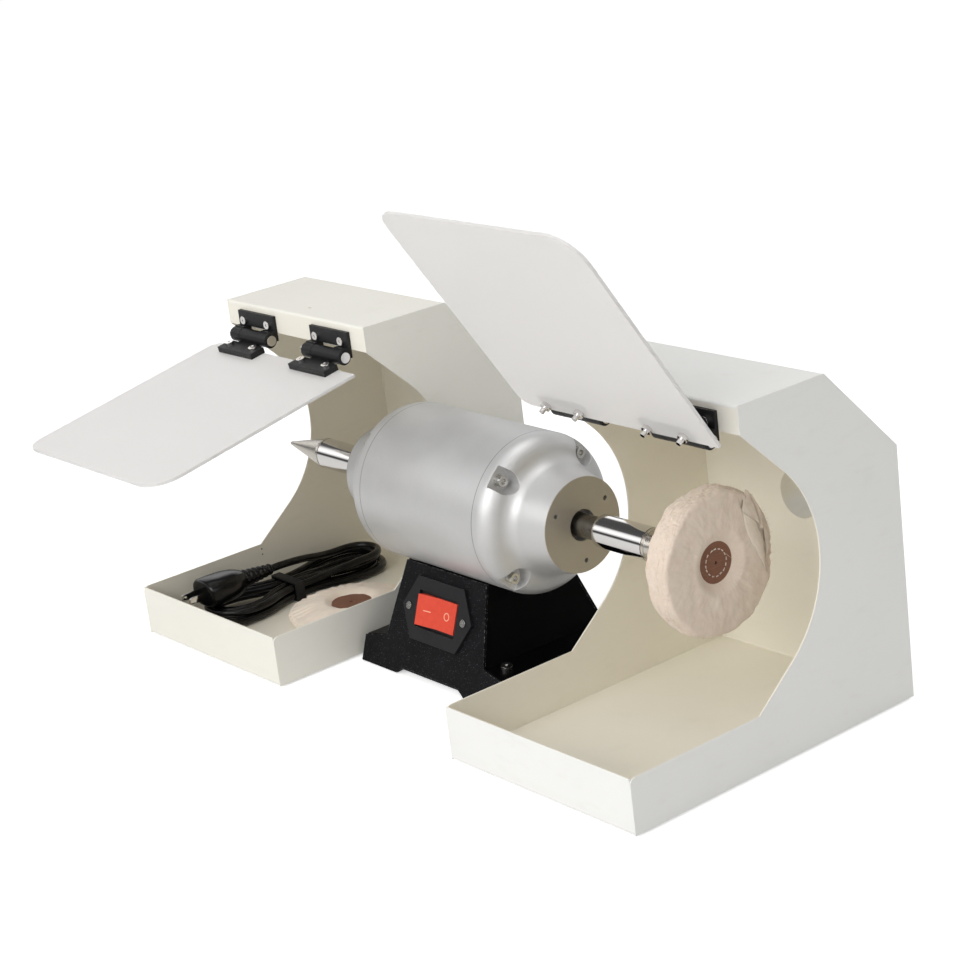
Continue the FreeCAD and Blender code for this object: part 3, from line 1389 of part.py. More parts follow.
def build_hinges_and_shields():
    fixed, moving, pin, nut = build_fixed_leaf(), build_moving_leaf(), build_pin(), build_hinge_nut()
    lip_screw = hinge_screw("hinge_lip_screw", s.lip_screw_length)
    shield_screw = hinge_screw("shield_screw", s.shield_screw_length)
    hinges = [spot(x=hinge * hinge_pitch_half) for hinge in HINGE_SIDES]
    screws = [spot(x=x) for x in hinge_screw_places()]
    angles = {"left": s.shield_left_angle, "right": s.shield_right_angle}
    leaf_top = s.moving_leaf_thickness - s.shield_drop
    screw_seat = Placement(Vector(0, -float(s.hinge_screw_reach), float(leaf_top)), Rotation(ALONG, -90))
    nut_seat = spot(y=-s.hinge_screw_reach, z=-s.shield_drop - s.shield_sheet - s.hinge_nut_height)
    seat = Vector(0, float(s.pivot_gap - s.leaf_sheet), float(s.lip_screw_height - s.pivot_height))
    lip_seat = Placement(seat, Rotation(UP, -90))
    lip_sets = []
    for side, middle in HOODS.items():
        still = {"x": middle, "y": pivot_y, "z": s.pivot_height}
        turning = dict(still, axis=ACROSS, angle=angles[side])
        leaves = copies("fixed_leaves_" + side, fixed, hinges)
        finish("hinge_fixed_leaves_" + side, place(leaves, **still))
        lips = copies("lip_screws_" + side, lip_screw, [one.multiply(lip_seat) for one in screws])
        lip_sets.append(place(lips, **still))
        leaves = copies("moving_leaves_" + side, moving, hinges)
        finish("hinge_moving_leaves_" + side, place(leaves, **turning))
        finish("hinge_pins_" + side, place(copies("pins_" + side, pin, hinges), **turning))
        pair = doc.addObject("Part::Compound", "shield_screws_" + side)
        pair.Links = [
            copies("shield_screw_set_" + side, shield_screw, [one.multiply(screw_seat) for one in screws]),
            copies("shield_nut_set_" + side, nut, [one.multiply(nut_seat) for one in screws])]
        finish("shield_screws_" + side, place(pair, **turning))
        finish("shield_" + side, place(build_shield(side), **turning))
    group = doc.addObject("Part::Compound", "lip_screw_group")
    group.Links = lip_sets
    finish("hinge_lip_screws", group)


# What lies in the left tray: a spare buff and the detachable mains lead, put away as a hank.
# Places in the tray are given from the hood's left face and front face

def tray_spot(x, y, z):
    """A place in the left tray, with z above the tray's floor."""
    return (HOODS["left"] - s.hood_width / 2 + x, s.hood_front_at + y, s.hood_foot + s.hood_sheet + z)


def build_spare_buff():
    x, y, z = tray_spot(s.hood_width - s.spare_buff_inset, s.spare_buff_y, s.seat_gap + s.spare_buff_half_width)

    def straight_bore(_):
        return s.taper_tip_radius + s.slip_gap

    flat = {"x": x, "y": y, "z": z, "axis": ALONG, "angle": -90}
    cloth = turned("spare_buff", buff_profile(s.spare_buff_radius, s.spare_buff_half_width))
    finish("spare_buff", place(cloth, **flat))
    finish("spare_buff_hub", place(turned("spare_buff_hub", hub_profile(straight_bore)), **flat))


class HankRoute:
    """A wire of tangent arcs, walked from one end of the lead to the other."""

    def __init__(self, start):
        self.here = start
        self.edges = []
        self.tightest = float("inf")

    def line(self, end):
        self.edges.append(Part.LineSegment(self.here, end).toShape())
        self.here = end

    def arc(self, middle, end):
        edge = Part.Arc(self.here, middle, end).toShape()
        self.tightest = min(self.tightest, edge.Curve.Radius)
        self.edges.append(edge)
        self.here = end

    def quarter(self, centre, end):
        """A quarter turn about a centre."""
        out = (self.here - centre) + (end - centre)
        self.arc(centre + out.normalize() * (end - centre).Length, end)

    def fold(self, end, forward):
        """A half turn at one end of the hank, as two quarter turns; forward is -1 or 1 along Y."""
        centre = (self.here + end) / 2
        apex = centre + Vector(0, forward * (end - centre).Length, 0)
        self.quarter(centre, apex)
        self.quarter(centre, end)

    def drift(self, end):
        """Two equal arcs that start and end along Y and move the lead sideways or up between."""
        step = end - self.here
        length = abs(step.y)
        side = Vector(step.x, 0, step.z)
        if side.Length < length * NEAR_SHARE * NEAR_SHARE:
            self.line(end)
            return
        radius = (length * length + side.Length * side.Length) / (4 * side.Length)
        bend = math.asin(length / (2 * radius))
        ahead = Vector(0, math.copysign(radius * math.sin(bend / 2), step.y), 0)
        aside = Vector(side).normalize() * (radius * (1 - math.cos(bend / 2)))
        start = self.here
        self.arc(start + ahead + aside, (start + end) / 2)
        self.arc(end - ahead - aside, end)


def hank_route():
    """The lead from the appliance connector, through the hank's loops, to the plug."""
    pitch = float(s.cord_pitch)
    inner_fold = float(s.hank_fold_radius)
    fold_x = (inner_fold, inner_fold + pitch)
    waist_x = (float(s.hank_waist_inner), float(s.hank_waist_inner + s.hank_waist_step))
    level = s.hank_floor_gap + s.cord_diameter / 2
    corner = Vector(*[float(c) for c in tray_spot(s.hank_x, as_size(0), level)])
    front, waist, back = float(s.hank_front_y), float(s.hank_waist_y), float(s.hank_back_y)

    def at(x, y, layer=0.0, rise=0.0):
        return corner + Vector(x, y, layer * pitch + rise)

    def run(side, lane, first, last, layers):
        """One run of a loop from fold to fold through the waist, on the layers given."""
        route.drift(at(side * waist_x[lane], waist, layers[0]))
        route.drift(at(side * fold_x[lane], last, layers[1]))

    rise = float(s.seat_gap + s.connector_height / 2 - s.hank_floor_gap - s.cord_diameter / 2)
    entry_y = float(s.connector_y)
    turn_x = fold_x[1] - inner_fold
    route = HankRoute(at(turn_x - float(s.cord_diameter), entry_y, rise=rise))
    route.line(at(turn_x, entry_y, rise=rise))
    route.quarter(at(turn_x, entry_y + inner_fold, rise=rise), at(fold_x[1], entry_y + inner_fold, rise=rise))
    route.drift(at(fold_x[1], front - float(s.lead_rise_gap)))
    route.line(at(fold_x[1], front))
    # First layer, from the outer lane to the inner one
    run(1, 1, front, back, (0, 0))
    route.fold(at(-fold_x[1], back), 1)
    run(-1, 1, back, front, (0, 0))
    route.fold(at(fold_x[0], front), -1)
    run(1, 0, front, back, (0, 0))
    route.fold(at(-fold_x[0], back), 1)
    # The climb lies along this run, and the second layer goes outward again
    run(-1, 0, back, front, (1, 1))
    route.fold(at(fold_x[0], front, 1), -1)
    run(1, 0, front, back, (1, 1))
    route.fold(at(-fold_x[1], back, 1), 1)
    run(-1, 1, back, front, (1, 1))
    route.fold(at(fold_x[1], front, 1), -1)
    run(1, 1, front, back, (1, 2))
    # The last fold lies on top and leads back to the plug
    route.fold(at(fold_x[1] - 2 * inner_fold, back, 2), 1)
    plug = Vector(*[float(c) for c in plug_entry()])
    route.drift(plug + Vector(0, float(s.cord_diameter), 0))
    route.line(plug)
    return route


def plug_entry():
    """Where the lead goes into the plug's strain relief."""
    return tray_spot(s.plug_x, s.plug_front_y + s.plug_length + s.plug_relief, plug_level())


def plug_level():
    """Height of the plug's middle above the tray: it rests on the second layer of the hank's front loops."""
    return s.hank_floor_gap + s.cord_diameter + s.cord_pitch + s.seat_gap + s.plug_height / 2


def build_hank():
    route = hank_route()
    wire = Part.Wire(route.edges)
    start = wire.Edges[0]
    section = Part.Wire(Part.makeCircle(float(s.cord_diameter / 2), route.edges[0].Vertexes[0].Point,
                                        start.tangentAt(start.FirstParameter)))
    tube = wire.makePipeShell([section], True, False)
    expected = math.pi * float(s.cord_diameter / 2) ** 2 * wire.Length
    print("lead: length %.0f, tightest radius %.1f, volume share %.4f, least gap to itself %.2f" % (
        wire.Length, route.tightest, tube.Volume / expected, least_gap(route.edges)))
    hank = doc.addObject("Part::Feature", "cord_hank")
    hank.Shape = tube
    finish("cord_hank", hank)


def least_gap(edges):
    """The least gap between stretches of the tube that are further along than a few diameters."""
    step = float(s.cord_diameter) / 4
    points, travelled, walked = [], [], 0.0
    for edge in edges:
        count = max(2, int(edge.Length / step))
        for number in range(count):
            share = number / count
            points.append(edge.valueAt(edge.getParameterByLength(edge.Length * share)))
            travelled.append(walked + edge.Length * share)
        walked += edge.Length
    apart = 4 * float(s.cord_diameter)
    gap = float("inf")
    for first in range(len(points)):
        for second in range(first + 1, len(points)):
            if travelled[second] - travelled[first] > apart:
                gap = min(gap, (points[first] - points[second]).Length)
    return gap - float(s.cord_diameter)


def build_connector():
    """Appliance connector: a moulded body with a slot for each of the inlet's pins, cord end to the right."""
    face = s.hank_x + s.cord_pitch - s.cord_diameter
    x, y, z = tray_spot(face - s.connector_relief, s.connector_y, s.seat_gap + s.connector_height / 2)
    body = padded("connector_body", "YZ_Plane", rectangle(s.connector_width / 2, s.connector_height / 2),
                  s.connector_length, start=-s.connector_length)
    filleted(body, s.connector_corner, long_edge(ACROSS, s.connector_length))
    for step in (-1, 0, 1):
        pocketed(body, "YZ_Plane", s.connector_slot_depth, start=-s.connector_length, reverse=True,
                 profile=rectangle(s.inlet_pin_half_width + s.seat_gap, s.inlet_pin_half_height + s.seat_gap,
                                   x=step * s.inlet_pin_pitch, y=(1 - abs(step)) * s.inlet_pin_half_height))
    relief = doc.addObject("Part::Cone", "connector_relief")
    bind(relief, "Radius1", s.cord_diameter)
    bind(relief, "Radius2", s.cord_diameter / 2 + s.relief_wall)
    bind(relief, "Height", s.connector_relief)
    place(relief, axis=ALONG, angle=90)
    finish("appliance_connector", place(fused("appliance_connector", [body, relief]), x=x, y=y, z=z))


def long_edge(direction, length):
    """Tells whether a straight edge runs along a direction for a whole length."""
    def chosen(edge):
        return (isinstance(edge.Curve, Part.Line) and abs(edge.Curve.Direction.dot(direction)) > 1 - NEAR_SHARE
                and abs(edge.Length - float(length)) < float(length) * NEAR_SHARE)
    return chosen


def build_plug():
    """Moulded plug with two flat blades, cord end towards the back."""
    x, y, z = tray_spot(s.plug_x, s.plug_front_y, plug_level())
    half = s.plug_width / 2
    nose = half * PLUG_NOSE_SHARE
    body = padded("plug_body", "XY_Plane", [
        (-half, 0), (half, 0), (half, s.plug_length / 2), (nose, s.plug_length), (-nose, s.plug_length),
        (-half, s.plug_length / 2)], s.plug_height, middle=True)
    filleted(body, s.plug_corner, long_edge(UP, s.plug_height))
    added(body, "XY_Plane", s.blade_height, middle=True, profile=rectangle(
        s.blade_thickness / 2, (s.blade_length + s.plug_corner) / 2, x=s.blade_pitch / 2,
        y=(s.plug_corner - s.blade_length) / 2))
    added(body, "XY_Plane", s.blade_height, middle=True, profile=rectangle(
        s.blade_thickness / 2, (s.blade_length + s.plug_corner) / 2, x=-s.blade_pitch / 2,
        y=(s.plug_corner - s.blade_length) / 2))
    relief = doc.addObject("Part::Cone", "plug_relief")
    bind(relief, "Radius1", s.cord_diameter)
    bind(relief, "Radius2", s.cord_diameter / 2 + s.relief_wall)
    bind(relief, "Height", s.plug_relief)
    place(relief, y=s.plug_length, axis=ACROSS, angle=-90)
    finish("mains_plug", place(fused("mains_plug", [body, relief]), x=x, y=y, z=z))


PLUG_NOSE_SHARE = 0.55


def build_tie():
    """A flat strap once round the hank's waist, clear of the loops and of the tray's floor."""
    reach = s.hank_waist_inner + s.hank_waist_step + s.cord_diameter / 2 + s.tie_gap
    low = -s.cord_diameter / 2 - s.tie_gap
    high = s.cord_pitch + s.cord_diameter / 2 + s.tie_gap
    x, y, z = tray_spot(s.hank_x, s.hank_waist_y, s.hank_floor_gap + s.cord_diameter / 2)
    strap = s.tie_strap
    band = padded("tie_band", "XZ_Plane", [
        (-reach - strap, low - strap), (reach + strap, low - strap),
        (reach + strap, high + strap), (-reach - strap, high + strap)], s.tie_width, middle=True)
    pocketed(band, "XZ_Plane", s.tie_width * 2, middle=True, profile=[
        (-reach, low), (reach, low), (reach, high), (-reach, high)])
    finish("cord_tie", place(band, x=x, y=y, z=z))


build_motor_body()
build_bells()
build_through_bolts()
build_stator()
build_rotor_and_shaft()
build_bearings()
build_sleeves()
build_tapers()
build_mounted_buff()
build_pedestal_plates()
build_pedestal_sides()
build_base_plate()
build_feet()
build_saddle()
build_switch_plate()
build_switch_housing()
build_rocker()
build_capacitor_and_terminals()
build_inlet()
for hood_side, hood_middle in HOODS.items():
    build_hood(hood_side, hood_middle)
build_dust_spigots()
build_hinges_and_shields()
build_spare_buff()
build_hank()
build_connector()
build_plug()
build_tie()


# Every object is checked, and then each node is written to its own file

doc.recompute()
for thing in doc.Objects:
    if "Invalid" in thing.State or "Error" in thing.State:
        raise ValueError("%s did not build" % thing.Name)
os.makedirs("parts", exist_ok=True)
for label, thing in nodes.items():
    if thing.Shape.isNull() or not thing.Shape.isValid():
        raise ValueError("%s has no valid shape" % label)
    thing.Shape.exportStep("parts/%s.step" % label)
print("wrote", len(nodes), "nodes")
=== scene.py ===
"""Dental polishing lathe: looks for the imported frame. Metres, the CAD's own frame."""

import json
import math
import random

import bpy
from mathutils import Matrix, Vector, noise
from mathutils.bvhtree import BVHTree


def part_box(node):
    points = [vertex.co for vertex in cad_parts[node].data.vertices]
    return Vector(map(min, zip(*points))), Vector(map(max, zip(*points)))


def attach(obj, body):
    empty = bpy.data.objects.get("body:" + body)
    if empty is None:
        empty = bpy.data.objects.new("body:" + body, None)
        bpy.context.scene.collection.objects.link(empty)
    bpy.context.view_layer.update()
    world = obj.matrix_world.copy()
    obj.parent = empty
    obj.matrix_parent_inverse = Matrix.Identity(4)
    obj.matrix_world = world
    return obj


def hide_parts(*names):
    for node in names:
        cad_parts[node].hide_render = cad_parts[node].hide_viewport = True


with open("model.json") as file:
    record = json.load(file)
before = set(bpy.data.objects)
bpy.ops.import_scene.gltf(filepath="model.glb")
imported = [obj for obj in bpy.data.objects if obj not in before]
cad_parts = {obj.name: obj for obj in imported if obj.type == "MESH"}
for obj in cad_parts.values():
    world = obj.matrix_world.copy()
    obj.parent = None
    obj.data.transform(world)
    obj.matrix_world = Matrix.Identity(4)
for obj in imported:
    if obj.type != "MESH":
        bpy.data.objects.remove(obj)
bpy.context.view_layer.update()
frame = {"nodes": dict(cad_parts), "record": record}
node = frame["nodes"]
MM = 0.001


def link(thing):
    bpy.context.scene.collection.objects.link(thing)
    return thing


# Camera, lights and floor

CAMERA_LENS = 89.287
CAMERA_SPOT = (1.411221, -1.055808, 0.727161)
CAMERA_TURN = (1.2516049, 0.1194533, 0.8872709)


def make_camera():
    """The photograph's own view, from the fit to its straight edges and circles."""
    data = bpy.data.cameras.new("camera")
    data.sensor_width = 36.0
    data.lens = CAMERA_LENS
    data.clip_start, data.clip_end = 0.05, 60.0
    camera = link(bpy.data.objects.new("camera", data))
    camera.location = CAMERA_SPOT
    camera.rotation_euler = CAMERA_TURN
    bpy.context.scene.camera = camera


def make_light(name, spot, aim, size, energy, colour=(1, 1, 1)):
    data = bpy.data.lights.new(name, "AREA")
    data.shape = "RECTANGLE"
    data.size, data.size_y = size
    data.energy = energy
    data.color = colour
    lamp = link(bpy.data.objects.new(name, data))
    lamp.location = spot
    lamp.rotation_euler = (Vector(aim) - Vector(spot)).to_track_quat("-Z", "Y").to_euler()


class Graph:
    """A node tree that is written as calls: each gives back the socket that the next one takes."""

    def __init__(self, tree):
        self.tree = tree
        tree.nodes.clear()

    def add(self, kind, *values, out=0, **settings):
        made = self.tree.nodes.new(kind)
        inputs = settings.pop("inputs", {})
        for key, value in settings.items():
            setattr(made, key, value)
        for key, value in [*enumerate(values), *inputs.items()]:
            if value is None:
                continue
            if isinstance(value, bpy.types.NodeSocket):
                self.tree.links.new(value, made.inputs[key])
            else:
                made.inputs[key].default_value = value
        return made.outputs[out] if made.outputs else None

    def maths(self, operation, first, second=0.0, clamp=False):
        return self.add("ShaderNodeMath", first, second, operation=operation, use_clamp=clamp)

    def ramp(self, factor, *stops):
        """A colour ramp: stops are (place, grey or colour)."""
        made = self.tree.nodes.new("ShaderNodeValToRGB")
        self.tree.links.new(factor, made.inputs[0])
        places = made.color_ramp.elements
        while len(places) < len(stops):
            places.new(0.5)
        for element, (place, colour) in zip(places, stops):
            element.position = place
            grey = isinstance(colour, (int, float))
            element.color = (colour, colour, colour, 1) if grey else (*colour, 1)
        return made.outputs[0]

    def blend(self, factor, first, second, how="MIX"):
        made = self.tree.nodes.new("ShaderNodeMix")
        made.data_type, made.blend_type = "RGBA", how
        for place, value in ((0, factor), (6, first), (7, second)):
            if isinstance(value, bpy.types.NodeSocket):
                self.tree.links.new(value, made.inputs[place])
            elif place:
                made.inputs[place].default_value = (*value, 1)
            else:
                made.inputs[place].default_value = value
        return made.outputs[2]


# Light that comes from all round, a little stronger from the operator's side and from above
SKY = {"even": 0.47, "x": -0.08, "y": -0.12, "z": 0.10}
SKY_SEEN = 1.15
FLOOR_HALF = 6.0
FLOOR_GLOW = 0.52


def make_world():
    """Even light, a room of dark and bright bands for what mirrors it, and white for the camera."""
    world = bpy.data.worlds.new("world")
    bpy.context.scene.world = world
    world.use_nodes = True
    g = Graph(world.node_tree)
    direction = g.add("ShaderNodeTexCoord", out=0)
    sides = g.add("ShaderNodeSeparateXYZ", direction).node.outputs
    even = g.maths("ADD", g.maths("MULTIPLY", sides[0], SKY["x"]), SKY["even"])
    even = g.maths("ADD", g.maths("MULTIPLY", sides[1], SKY["y"]), even)
    even = g.maths("ADD", g.maths("MULTIPLY", sides[2], SKY["z"]), even)
    bands = g.ramp(sides[2], (0.0, 0.85), (0.03, 0.10), (0.16, 0.05), (0.24, 0.85), (0.36, 1.5),
                   (0.50, 1.1), (0.58, 0.10), (0.78, 0.06), (0.86, 0.9), (1.0, 0.7))
    ray = g.add("ShaderNodeLightPath").node.outputs
    light = g.blend(ray["Is Glossy Ray"], even, bands)
    light = g.blend(ray["Is Camera Ray"], light, (SKY_SEEN, SKY_SEEN, SKY_SEEN))
    g.add("ShaderNodeOutputWorld", g.add("ShaderNodeBackground", light, 1.0))


def make_floor():
    """A white floor that glows a little for the camera and still takes the shadow."""
    mesh = bpy.data.meshes.new("floor")
    half = FLOOR_HALF
    corners = [(-half, -half, 0), (half, -half, 0), (half, half, 0), (-half, half, 0)]
    mesh.from_pydata(corners, [], [(0, 1, 2, 3)])
    floor = link(bpy.data.objects.new("floor", mesh))
    floor_material = bpy.data.materials.new("floor")
    floor_material.use_nodes = True
    g = Graph(floor_material.node_tree)
    matt = g.add("ShaderNodeBsdfDiffuse", (0.9, 0.9, 0.89, 1))
    path = g.add("ShaderNodeLightPath", out=0)
    glow = g.add("ShaderNodeEmission", (1, 1, 1, 1), g.maths("MULTIPLY", path, FLOOR_GLOW))
    g.add("ShaderNodeOutputMaterial", g.add("ShaderNodeAddShader", matt, glow))
    mesh.materials.append(floor_material)


make_camera()
make_world()
make_floor()
make_light("key", (0.62, -2.70, 1.85), (0.0, 0.0, 0.15), (2.2, 1.8), 51)
make_light("top", (0.2, 0.5, 2.6), (0.0, 0.0, 0.1), (1.6, 1.2), 12)
view = bpy.context.scene.view_settings
view.view_transform = "Standard"

# The mains lead

LEAD_DIAMETER = 6.5
LEAD_PITCH = 7.0
HANK_CORNER = Vector((-256.2, -145.35, 8.35))
HANK_FRONT, HANK_WAIST, HANK_BACK = 68.0, 120.0, 190.0
FOLD_X = (19.5, 26.5)
WAIST_X = (4.0, 13.8)
OCTAGON = math.tan(math.pi / 8)


class LeadRoute:
    """Control points of the lead, in millimetres from the hank's middle line: the corners of its bends."""

    def __init__(self, *points):
        self.points = [Vector(point) for point in points]
        self.here = self.points[-1]

    def drift(self, *end):
        """An S bend along the tray that moves the lead sideways or up."""
        end = Vector(end)
        step = end - self.here
        aside = math.hypot(step.x, step.z)
        reach = Vector((0, (step.y ** 2 + aside ** 2) / (4 * step.y), 0))
        self.points += [self.here + reach, end - reach]
        self.here = end

    def run(self, side, lane, last, *layers):
        """From one fold to the other through the waist, on the layers given."""
        self.drift(side * WAIST_X[lane], HANK_WAIST, layers[0] * LEAD_PITCH)
        self.drift(side * FOLD_X[lane], last, layers[1] * LEAD_PITCH)

    def fold(self, across, forward):
        """A half turn to another place across, by half an octagon round it."""
        end = Vector((across, self.here.y, self.here.z))
        centre = (self.here + end) / 2
        side = self.here - centre
        ahead = Vector((0, forward * side.length, 0))
        for share, onward in ((1, OCTAGON), (OCTAGON, 1), (-OCTAGON, 1), (-1, OCTAGON)):
            self.points.append(centre + side * share + ahead * onward)
        self.here = end


def lead_route():
    """From the connector through the hank's loops to the plug, as in the CAD."""
    turn = FOLD_X[0]
    route = LeadRoute((0.5, 15.4, 5.2), (7.0 + turn * OCTAGON, 15.4, 5.2), (26.5, 34.9 - turn * OCTAGON, 5.2))
    route.here = Vector((26.5, 34.9, 5.2))
    route.drift(26.5, 55.0, 0.0)
    route.here = Vector((26.5, HANK_FRONT, 0.0))
    route.points.append(Vector((26.5, 60.0, 0.0)))
    route.run(1, 1, HANK_BACK, 0, 0)
    route.fold(-FOLD_X[1], 1)
    route.run(-1, 1, HANK_FRONT, 0, 0)
    route.fold(FOLD_X[0], -1)
    route.run(1, 0, HANK_BACK, 0, 0)
    route.fold(-FOLD_X[0], 1)
    route.run(-1, 0, HANK_FRONT, 1, 1)
    route.fold(FOLD_X[0], -1)
    route.run(1, 0, HANK_BACK, 1, 1)
    route.fold(-FOLD_X[1], 1)
    route.run(-1, 1, HANK_FRONT, 1, 1)
    route.fold(FOLD_X[1], -1)
    route.run(1, 1, HANK_BACK, 1, 2)
    route.fold(FOLD_X[1] - 2 * turn, 1)
    route.drift(-7.0, 116.5, 22.55)
    route.points.append(Vector((-7.0, 110.0, 22.55)))
    return [(HANK_CORNER + point) * MM for point in route.points]


def make_lead():
    """The lead as one smooth tube on its route."""
    places = lead_route()
    curve = bpy.data.curves.new("lead", "CURVE")
    curve.dimensions = "3D"
    spline = curve.splines.new("NURBS")
    spline.points.add(len(places) - 1)
    for point, place in zip(spline.points, places):
        point.co = (*place, 1)
        # Blender widens its own box of a curve by this radius, so the radius is one millimetre
        # and the bevel a count of them
        point.radius = MM
    spline.order_u = 3
    spline.use_endpoint_u = True
    spline.resolution_u = 8
    curve.bevel_depth = LEAD_DIAMETER / 2
    curve.bevel_resolution = 6
    curve.use_fill_caps = True
    lead = link(bpy.data.objects.new("mains_lead", curve))
    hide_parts("cord_hank")
    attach(lead, "root")
    return lead


lead = make_lead()

# Materials

# The scale at which Blender's wave texture has one band per unit
GROOVE_SCALE = 0.314


class Look:
    """A material with one Principled shader, whose colour, roughness and bump come from its own nodes."""

    def __init__(self, name, **fixed):
        self.name = name
        self.material = bpy.data.materials.new(name)
        self.material.use_nodes = True
        self.g = Graph(self.material.node_tree)
        shader = self.g.add("ShaderNodeBsdfPrincipled")
        self.shader = shader.node
        self.g.add("ShaderNodeOutputMaterial", shader)
        for key, value in fixed.items():
            self.shader.inputs[key.replace("_", " ")].default_value = value
        self.place = self.g.add("ShaderNodeTexCoord", out=3)
        self.heights = None

    def scaled(self, sizes):
        """Places stretched so that one unit is the given size in millimetres along each axis."""
        return self.g.add("ShaderNodeVectorMath", self.place, tuple(1 / (size * MM) for size in sizes),
                          operation="MULTIPLY")

    def noise(self, size, detail=2.0, roughness=0.5, distortion=0.0):
        """Soft noise with features of this size in millimetres, or of these sizes along the axes."""
        sizes = size if isinstance(size, tuple) else (size, size, size)
        return self.g.add("ShaderNodeTexNoise", inputs={
            "Vector": self.scaled(sizes), "Scale": 1.0, "Detail": detail, "Roughness": roughness,
            "Distortion": distortion})

    def cells(self, size, feature="F1", out=0):
        sizes = size if isinstance(size, tuple) else (size, size, size)
        return self.g.add("ShaderNodeTexVoronoi", inputs={"Vector": self.scaled(sizes), "Scale": 1.0},
                          feature=feature, out=out)

    def waves(self, size, axis="X", distortion=0.0):
        """Parallel grooves this many millimetres apart."""
        return self.g.add("ShaderNodeTexWave", inputs={
            "Vector": self.scaled((size, size, size)), "Scale": GROOVE_SCALE,
            "Distortion": distortion, "Detail": 2.0},
            wave_type="BANDS", bands_direction=axis)

    def along(self, axis):
        """The place along one axis, in metres."""
        sides = self.g.add("ShaderNodeSeparateXYZ", self.place)
        return sides.node.outputs["XYZ".index(axis)]

    def edge(self, radius, low=0.02, high=0.25):
        """1 on sharp edges and 0 on flats."""
        soft = self.g.add("ShaderNodeBevel", radius * MM, samples=6)
        real = self.g.add("ShaderNodeNewGeometry", out=1)
        alike = self.g.add("ShaderNodeVectorMath", soft, real, operation="DOT_PRODUCT", out=1)
        return self.g.ramp(self.g.maths("SUBTRACT", 1.0, alike), (low, 0.0), (high, 1.0))

    def facing(self, *middle):
        """1 where a surface faces a middle point in metres, given for the right side of the machine."""
        sides = self.g.add("ShaderNodeSeparateXYZ", self.place).node.outputs
        across = self.g.maths("MULTIPLY", self.g.maths("SIGN", sides[0]), middle[0])
        centre = self.g.add("ShaderNodeCombineXYZ", across, middle[1], middle[2])
        toward = self.g.add("ShaderNodeVectorMath", centre, self.place, operation="SUBTRACT")
        normal = self.g.add("ShaderNodeNewGeometry", out=1)
        alike = self.g.add("ShaderNodeVectorMath", toward, normal, operation="DOT_PRODUCT", out=1)
        return self.between(alike, -0.004, 0.004)

    def between(self, value, low, high):
        """0 below low, 1 above high, straight in between."""
        return self.g.add("ShaderNodeMapRange", value, low, high, 0.0, 1.0)

    def colour(self, value):
        self.set("Base Color", value)
        return self

    def rough(self, factor, low, high):
        self.set("Roughness", self.g.add("ShaderNodeMapRange", factor, 0.0, 1.0, low, high))
        return self

    def set(self, key, value):
        if isinstance(value, bpy.types.NodeSocket):
            self.g.tree.links.new(value, self.shader.inputs[key])
        else:
            self.shader.inputs[key].default_value = value

    def bump(self, height, depth, strength=1.0, rounded=None):
        """Relief this many millimetres deep; a second call lies over the first."""
        inputs = {"Strength": strength, "Distance": depth * MM, "Height": height}
        made = self.g.add("ShaderNodeBump", inputs=inputs)
        if self.heights is not None:
            self.g.tree.links.new(self.heights, made.node.inputs["Normal"])
        elif rounded:
            soft = self.g.add("ShaderNodeBevel", rounded * MM, samples=6)
            self.g.tree.links.new(soft, made.node.inputs["Normal"])
        self.heights = made
        self.set("Normal", made)
        return self


# A point inside each hood, and the motor's joints and bell faces along X, in metres
HOOD_MIDDLE = (0.2087, -0.02, 0.12)
BELL_JOINT = 0.0703
BELL_FACE = 0.12355


def hood_enamel():
    """Stove enamel: paler outside and creamier outside on the left, with painted warm bounce light on the
    inside faces, orange peel, and a painted highlight along the edges.
    """
    look = Look("hood_enamel", Specular_IOR_Level=0.45)
    cloud = look.noise(70.0, 3.0)
    warm = look.g.blend(cloud, (0.845, 0.825, 0.745), (0.885, 0.868, 0.795))
    plain = look.g.blend(cloud, (0.845, 0.842, 0.815), (0.885, 0.882, 0.855))
    outer = look.g.blend(look.between(look.along("X"), -0.01, 0.01), warm, plain)
    # Painted bounce light: faces turned into the hood get a warmer, creamier colour for the light reflected
    # inside it.
    painted_bounce_inside = look.g.blend(cloud, (0.875, 0.832, 0.715), (0.915, 0.875, 0.77))
    base = look.g.blend(look.facing(*HOOD_MIDDLE), outer, painted_bounce_inside)
    smudges = look.g.ramp(look.noise((26.0, 26.0, 9.0), 5.0, 0.65), (0.56, 0.0), (0.74, 1.0))
    base = look.g.blend(look.g.maths("MULTIPLY", smudges, 0.10), base, (0.62, 0.58, 0.50))
    # Painted highlight: the edges are lightened towards a pale cream where they catch the light.
    edge = look.edge(0.45, 0.04, 0.3)
    look.colour(look.g.blend(look.g.maths("MULTIPLY", edge, 0.6), base, (0.96, 0.955, 0.93)))
    look.rough(look.noise(12.0, 3.0), 0.34, 0.5)
    look.bump(look.noise(1.3, 2.0), 0.05, 0.5, rounded=0.4)
    look.bump(look.noise(0.45, 1.0), 0.02, 0.35)
    return look


